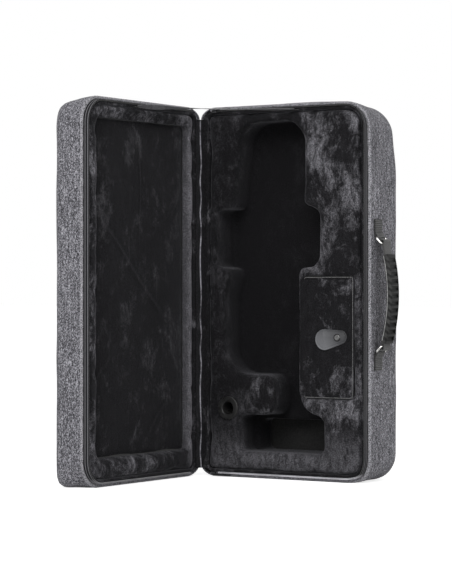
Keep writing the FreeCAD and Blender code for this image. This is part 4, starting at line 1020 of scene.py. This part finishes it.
leather = Finish("glazed_leather", 0.38, specular_ior_level=0.3, coat_weight=0.12, coat_roughness=0.2)
pebbles = leather.add("TexVoronoi", {"Vector": leather.place, "Scale": 900.0, "Randomness": 0.9})
pebbles = pebbles.outputs["Distance"]
wear_and_sheen = leather.noise(70.0, 3.0)
# The tab's colour runs from dark at its upper right to pale at its lower left: a painted reflection of
# the lamps on its curved face.
towards_lower_left = leather.sum(leather.past("X", rivet_at[0]), leather.past("Z", rivet_at[2]))
wear_and_highlight = leather.graded(leather.sum(leather.times(towards_lower_left, -14.0), 0.35),
                        (0.05, (0.018, 0.018, 0.020)), (0.40, (0.050, 0.051, 0.056)),
                        (0.95, (0.190, 0.193, 0.205)))
leather.coloured(leather.overlaid(0.25, wear_and_highlight, pebbles, (0.0, 0.62), (0.6, 0.35)))
leather.roughened(wear_and_sheen, (0.3, 0.32), (0.7, 0.45))
leather.bumped(pebbles, 0.00012, 0.3)

tab = rounded_foam(merged_copy("leather_pull_tab", "pull_tab"), 0.0006, 3)
spots = places(tab)
x, y, z = spots.T
off_x, off_z = x - rivet_at[0], z - rivet_at[2]
along = off_x * math.cos(TAB_TILT) + off_z * math.sin(TAB_TILT) - TAB_PAST
aside = off_z * math.cos(TAB_TILT) - off_x * math.sin(TAB_TILT)
reach = TAB_LONG - TAB_WIDE / 2 - TAB_NARROW / 2
share = np.clip(-along / reach, 0, 1)
inside = TAB_NARROW / 2 + (TAB_WIDE - TAB_NARROW) / 2 * share - np.hypot(along + share * reach, aside)
front = turned_to(tab, 1, -1, 0.2, 0.8)
y += front * TAB_SEAM_DEEP * np.exp(-((inside - TAB_SEAM) / 0.0006) ** 2)
y -= TAB_CURL * share**2 + 0.0003 * np.sin(aside * 180) * share
y -= front * TAB_DOME * np.clip(inside / 0.010, 0, 1) ** 0.5
put_smooth(tab, spots)
dress(tab, "tab", leather, "tab_leather", "pull_tab")

polished = Finish("polished_nickel", 0.12, metallic=1.0)
tarnish = polished.speckled(220.0, 4.0, (0.3, (0.62, 0.61, 0.59)), (0.7, (0.86, 0.85, 0.83)))
polished.roughened(tarnish, (0.3, 0.10), (0.75, 0.26))
polished.grainy(1500.0, 0.00004, 0.3)
dark_nickel = Finish("dark_nickel", 0.14, metallic=1.0, coat_weight=0.6, coat_roughness=0.06)
dark_nickel.speckled(220.0, 4.0, (0.3, 0.030), (0.7, 0.075))
finish_node("tab_rivet", dark_nickel)

# ---------------------------------------------------------------- hinge cloth and stay
# A velour strip is glued over both rims and folded into the hinge, with a seam down its middle.
# A woven satin ribbon between two sewn ends stops the lid at a right angle.

HINGE_CLOTH_THICK, HINGE_CLOTH_DROP, SEAM_HIGH, LEAF, FOLD = 0.0010, 0.006, 0.0012, 0.0113, 0.0016
cloth_low, cloth_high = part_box("hinge_cloth")
across_base = np.linspace(LEAF, FOLD, 12)
round_fold = np.linspace(0, math.pi / 2, 9)[1:-1]
path_u = np.concatenate([across_base, FOLD * (1 - np.sin(round_fold)), np.zeros(12)])
path_w = np.concatenate([np.zeros(12), FOLD * (1 - np.cos(round_fold)), across_base[::-1]])
level = np.linspace(cloth_low[2] - HINGE_CLOTH_DROP, cloth_high[2], 220)
seam = SEAM_HIGH * np.exp(-((path_u - path_w) / 0.0011) ** 2)[:, None] \
    * (1 + 0.35 * np.sin(level * 390) * np.sin(level * 71 + 1))
near_fold = np.exp(-(((path_u + path_w) / 0.004) ** 2))[:, None]
waver = 0.0006 * np.sin(level * 96 + 1.5 * np.sin(level * 31)) * near_fold
front_x = HINGE_X + path_u[:, None] + seam * 0.7 + waver
front_y = MOUTH_Y - path_w[:, None] - seam * 0.7 + waver
rear_x = (HINGE_X + path_u - HINGE_CLOTH_THICK * (path_w > 0.0))[:, None]
rear_y = (MOUTH_Y - path_w + HINGE_CLOTH_THICK * (path_u > 0.0))[:, None]
front_face, rear_face = joined(front_x, front_y, level), joined(rear_x, rear_y, level)
loop = np.concatenate([front_face, rear_face[::-1], front_face[:1]], 0)
off_seam = path_w - path_u
off_seam = np.concatenate([off_seam, off_seam[::-1], off_seam[:1]])
chart = joined(off_seam[:, None], np.pad(level, 1, "edge"))
hinge_cloth = skin("velour_hinge", capped(loop), chart, 70.0)
dress(hinge_cloth, None, hinge_velour, "plush", "hinge_cloth")
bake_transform(hinge_cloth)

STAY_FROM_HINGE, STAY_LEVEL, STAY_WIDE, STAY_THICK = 0.158, 0.5311, 0.010, 0.0008
STAY_SAG, STAY_TWIST, STAY_OFF = 0.0018, 0.55, 0.0018

satin = Finish("satin_ribbon", 0.42, sheen_weight=0.3, sheen_roughness=0.3)
cords = satin.ribs("X", 0.0011)
silk = satin.graded(satin.noise(300.0, 3.0), (0.3, (0.090, 0.090, 0.096)), (0.7, (0.180, 0.180, 0.190)))
satin.coloured(satin.overlaid(0.4, silk, cords, (0.0, 0.35), (1.0, 0.65)))
satin.bumped(cords, 0.0002, 0.6)

share = np.linspace(0, 1, 80)
base_end = np.array([HINGE_X + STAY_FROM_HINGE, MOUTH_Y + STAY_OFF, STAY_LEVEL])
lid_end = np.array([HINGE_X - STAY_OFF, MOUTH_Y - STAY_FROM_HINGE, STAY_LEVEL])
forward = (base_end - lid_end) / np.linalg.norm(base_end - lid_end)
path = lid_end + (base_end - lid_end) * share[:, None]
path[:, 2] -= STAY_SAG * 4 * share * (1 - share)
twist = (STAY_TWIST * np.exp(-((share - 0.10) / 0.11) ** 2) + 0.18 * np.sin(share * 9))[:, None]
across = np.cross(forward, THIRD) * np.cos(twist) + THIRD * np.sin(twist)
grid, chart = band(path, np.cross(across, forward), across, STAY_THICK, STAY_WIDE, 10)
ribbon = skin("stay_satin_ribbon", grid, chart, 60.0)
dress(ribbon, None, satin, "ribbon", "stay_ribbon")
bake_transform(ribbon)


def webbing_finish(name, low, high, rib):
    """Woven webbing: ribs across its run and finer warp lines along it, over loose fibre."""
    finish = Finish(name, 0.62, sheen_weight=0.25, sheen_roughness=0.4)
    weave = finish.sum(finish.ribs("X", rib), finish.times(finish.ribs("Y", 0.0026), 0.6))
    fibre = finish.noise(800.0, 3.0)
    woven = finish.graded(weave, (0.0, (low, low, low * 1.02)), (0.9, (high, high, high * 0.97)))
    finish.coloured(finish.overlaid(0.5, woven, fibre, (0.3, 0.25), (0.7, 0.75)))
    finish.bumped(weave, 0.0006, 0.8)
    finish.bumped(fibre, 0.0002, 0.5)
    return finish


webbing = webbing_finish("ribbed_webbing", 0.005, 0.048, 0.0026)
strap_webbing = webbing_finish("fine_strap_webbing", 0.070, 0.120, 0.0012)

for half, convert, place in (("base", from_base, in_base), ("lid", from_lid, in_lid)):
    across, up, out = spans(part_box("stay_anchor_" + half), convert)
    path = joined(np.linspace(*across, 14), up.mean(), out.mean())
    grid, chart = band(path, SECOND, THIRD, np.ptp(up), np.ptp(out), 8)
    anchor = skin(half + "_sewn_ribbon_end", place(grid), chart, 60.0)
    dress(anchor, half, webbing, "webbing", "stay_anchor_" + half)

# ---------------------------------------------------------------- pocket behind the base
# A patch of the same canvas is sewn flat on the back as a music pocket.  It bellies towards its
# foot, and its mouth is bound with a hem band.

POCKET_FILL, POCKET_LIFT, POCKET_DEEP, POCKET_CORNER, HEM_THICK = 0.0042, 0.0012, 0.0036, 0.024, 0.0011
pocket_low, pocket_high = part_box("back_pocket")
hem_low, hem_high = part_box("pocket_hem_band")
POCKET_MIDDLE, POCKET_HALF = (pocket_low[0] + pocket_high[0]) / 2, (pocket_high[0] - pocket_low[0]) / 2


def pocket_stand(across, up):
    """How far the pocket's cloth stands off: it bellies low down and is sewn flat at its sides."""
    side = 1 - np.abs(across) ** 5
    rise = smooth(up, 0.0, 0.10) * (1 - 0.55 * smooth(up, 0.35, 1.0))
    sway = 0.0006 * np.sin(across * 7 + up * 5) * np.sin(up * 17 + 1)
    stand = POCKET_LIFT + side * (POCKET_DEEP + POCKET_FILL * rise + sway)
    return stand * smooth(1 - np.abs(across), 0.0, 0.02)


s, t = np.meshgrid(np.linspace(-1, 1, 90), np.linspace(0, 1, 130))
pocket_x = POCKET_MIDDLE + s * POCKET_HALF
pocket_z = pocket_low[2] + t * (pocket_high[2] - pocket_low[2])
corner_round = POCKET_CORNER * (1 - np.sqrt(np.clip(1 - ((1 - smooth(t, 0, 0.055)) ** 2), 0, 1)))
pocket_x -= s * corner_round * np.abs(s) ** 3
stand = pocket_stand(s, t) * smooth(t, 0, 0.01)
front = joined(pocket_x, pocket_low[1] + 0.0002 + stand, pocket_z)
behind = joined(pocket_x, pocket_low[1] + 0.0001, pocket_z)
lips = (front[-1:] + behind[-1:]) / 2 - THIRD * 0.0008
pocket = skin("music_pocket", np.concatenate([front, lips, behind[::-1]], 0), sharp=60.0)
dress(pocket, "base", canvas, "outer_fabric", "back_pocket")

hem_share = (hem_low[2] + hem_high[2] - 2 * pocket_low[2]) / 2 / (pocket_high[2] - pocket_low[2])
across = np.linspace(-0.985, 0.985, 90)
path = joined(POCKET_MIDDLE + across * POCKET_HALF,
              pocket_low[1] + 0.0008 + pocket_stand(across, hem_share), (hem_low[2] + hem_high[2]) / 2)
grid, chart = band(path, SECOND, THIRD, HEM_THICK, hem_high[2] - hem_low[2], 8)
dress(skin("pocket_binding", grid, chart, 60.0), "base", webbing, "outer_fabric", "pocket_hem_band")

# ---------------------------------------------------------------- carrying handle
# Webbing folded round two wire rings is sewn to the wall.  A doubled webbing strap runs between the
# rings through a moulded grip, whose face is cut with finger scallops.

RING_WIRE, EYE_PLAY, PLY, PLY_GAP = 0.0015, 0.00035, 0.0012, 0.0001
HANDLE_Y = float(np.mean(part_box("ring_upper"), axis=0)[1])
WALL_X, MIDDLE_Z = HINGE_X + WIDE, TALL / 2 - 0.0044
BAR_OFF, BAR_UP, TAB_REACH, TAB_WEBBING = 0.0044, 0.0806, 0.026, 0.021


def on_handle(off, up):
    """Points in the handle's upright plane, off the wall and up from the handle's middle."""
    return joined(WALL_X + off, HANDLE_Y, MIDDLE_Z + up)


def eased(path, rounds):
    """Path with its turns eased by averaging neighbours, ends kept."""
    for _ in range(rounds):
        path[1:-1] = (path[:-2] + 2 * path[1:-1] + path[2:]) / 4
    return path


def facing_of(path, across):
    forward = np.gradient(path, axis=0)
    forward /= np.linalg.norm(forward, axis=1, keepdims=True)
    return np.cross(forward, across)


turn = np.linspace(math.pi, 2 * math.pi, 14)
bar_reach, tab_end = RING_WIRE + EYE_PLAY + 0.5 * PLY, BAR_UP + TAB_REACH
inner = joined(0.5 * PLY, np.linspace(tab_end, BAR_UP + 0.004, 24))
bend = joined(BAR_OFF + bar_reach * np.cos(turn), BAR_UP + bar_reach * np.sin(turn))
outer = joined(1.5 * PLY + PLY_GAP, np.linspace(BAR_UP + 0.006, tab_end, 24))
fold_off, fold_up = eased(np.vstack([inner, bend, outer]), 3).T
for word, sign in (("upper", 1), ("lower", -1)):
    path = on_handle(fold_off + PLY_GAP, sign * fold_up)
    grid, chart = band(path, facing_of(path, SECOND), SECOND, PLY, TAB_WEBBING)
    dress(skin("webbing_tab_" + word, grid, chart, 60.0), "base", webbing, "webbing",
          "handle_tab_" + word)
    finish_node("ring_" + word, polished)

RING_LONG, RING_LEAN = 0.012, math.radians(45.0)
BOW, STRAP_WIDE, STRAP_EYE, SLACK = 0.011, 0.020, 0.0028, 0.0031
end_off = BAR_OFF + RING_LONG * math.sin(RING_LEAN)
end_up = BAR_UP - RING_LONG * math.cos(RING_LEAN)
bow_radius = (end_up**2 + BOW**2) / (2 * BOW)


def bowed(shift, swing):
    """Points (off, up) of the strap's bow, shifted out from its middle line."""
    return joined(end_off + BOW - bow_radius + (bow_radius + shift) * np.cos(swing),
                  (bow_radius + shift) * np.sin(swing))


swing = np.linspace(-0.93, 0.93, 70) * math.asin(end_up / bow_radius)
turn = np.linspace(math.radians(-25), math.radians(205), 16)
upper_eye = joined(end_off + STRAP_EYE * np.cos(turn), end_up + SLACK + STRAP_EYE * np.sin(turn))
outside = bowed(0.5 * PLY, swing)
loop = on_handle(*np.vstack([outside, upper_eye, bowed(-0.5 * PLY, swing)[::-1],
                             upper_eye[::-1] * (1, -1), outside[:1]]).T)
grid, chart = band(loop, facing_of(loop, SECOND), SECOND, PLY * 0.97, STRAP_WIDE, closed=True)
dress(skin("doubled_strap", grid, chart, 60.0), "handle", strap_webbing, "webbing", "handle_strap")

GROOVE_PITCH, GRIP_HALF, BEAD = 0.0099, 0.004, 0.0006
grip_low, grip_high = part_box("handle_grip")
rubber = Finish("moulded_grip_rubber", 0.55, specular_ior_level=0.25)
handling = rubber.noise(90.0, 4.0)
along = rubber.past("Z", MIDDLE_Z)
bulge = rubber.times(rubber.times(along, along), float(0.5 / bow_radius))
outward = rubber.times(rubber.sum(rubber.past("X", WALL_X + end_off + BOW), bulge), 1 / GRIP_HALF)
beat = rubber.sum(rubber.past("Z", (grip_low[2] + grip_high[2]) / 2, GROOVE_PITCH),
                  rubber.times(rubber.times(outward, outward), 0.22))
beat = rubber.sum(rubber.sum(rubber.sum(beat, 0.0, "FRACT"), -0.5), 0.0, "ABSOLUTE")
# Arcs across the grip's outer face are painted near black: painted shade in its finger grooves.
groove_shade = rubber.times(rubber.graded(beat, (0.14, 1.0), (0.28, 0.0)),
                      rubber.graded(outward, (0.02, 0.0), (0.25, 1.0)))
skin_colour = rubber.graded(handling, (0.3, (0.016, 0.016, 0.016)), (0.7, (0.044, 0.044, 0.043)))
rubber.coloured(rubber.mixed(groove_shade, skin_colour, (0.0015, 0.0015, 0.0015)))
rubber.roughened(handling, (0.3, 0.42), (0.7, 0.62))
rubber.grainy(1400.0, 0.0002, 0.5)
finish_node("handle_grip", rubber)

swing = np.arcsin((np.linspace(grip_low[2] + 0.004, grip_high[2] - 0.002, 80) - MIDDLE_Z) / bow_radius)
bead_line = on_handle(*bowed(-0.0008, swing).T)
bead_line[:, 1] = grip_low[1] + 0.0001
lift = joined(np.cos(swing), 0.0, np.sin(swing))
# A thin pale tube runs along the grip's edge: its pale colour is a painted highlight along that edge.
highlight_rubber = Finish("grip_bead_painted_highlight", 0.5, specular_ior_level=0.4)
highlight_rubber.speckled(300.0, 2.0, (0.35, 0.18), (0.65, 0.42))
dress(skin("grip_parting_bead", tube(bead_line, SECOND, lift, BEAD), sharp=180.0), "handle",
      highlight_rubber, "grip_rubber")

# ---------------------------------------------------------------- zip sliders and pulls
# Cast sliders in dark lacquer run on the base's coil, each with a stamped pull on its bail.

lacquer = Finish("dark_lacquered_zinc", 0.34, metallic=0.85)
wear_and_highlight = lacquer.speckled(260.0, 4.0, (0.30, (0.045, 0.045, 0.048)), (0.62, (0.085, 0.085, 0.090)),
                          (0.80, (0.30, 0.29, 0.28)))
lacquer.roughened(wear_and_highlight, (0.3, 0.28), (0.7, 0.5))
lacquer.grainy(1200.0, 0.00006, 0.4)
for word in ("slider_top", "slider_bottom", "pull_top", "pull_bottom"):
    finish_node(word, lacquer, 0.0002)
for word in ("base_back_board", "lid_back_board"):
    finish_node(word, felt)
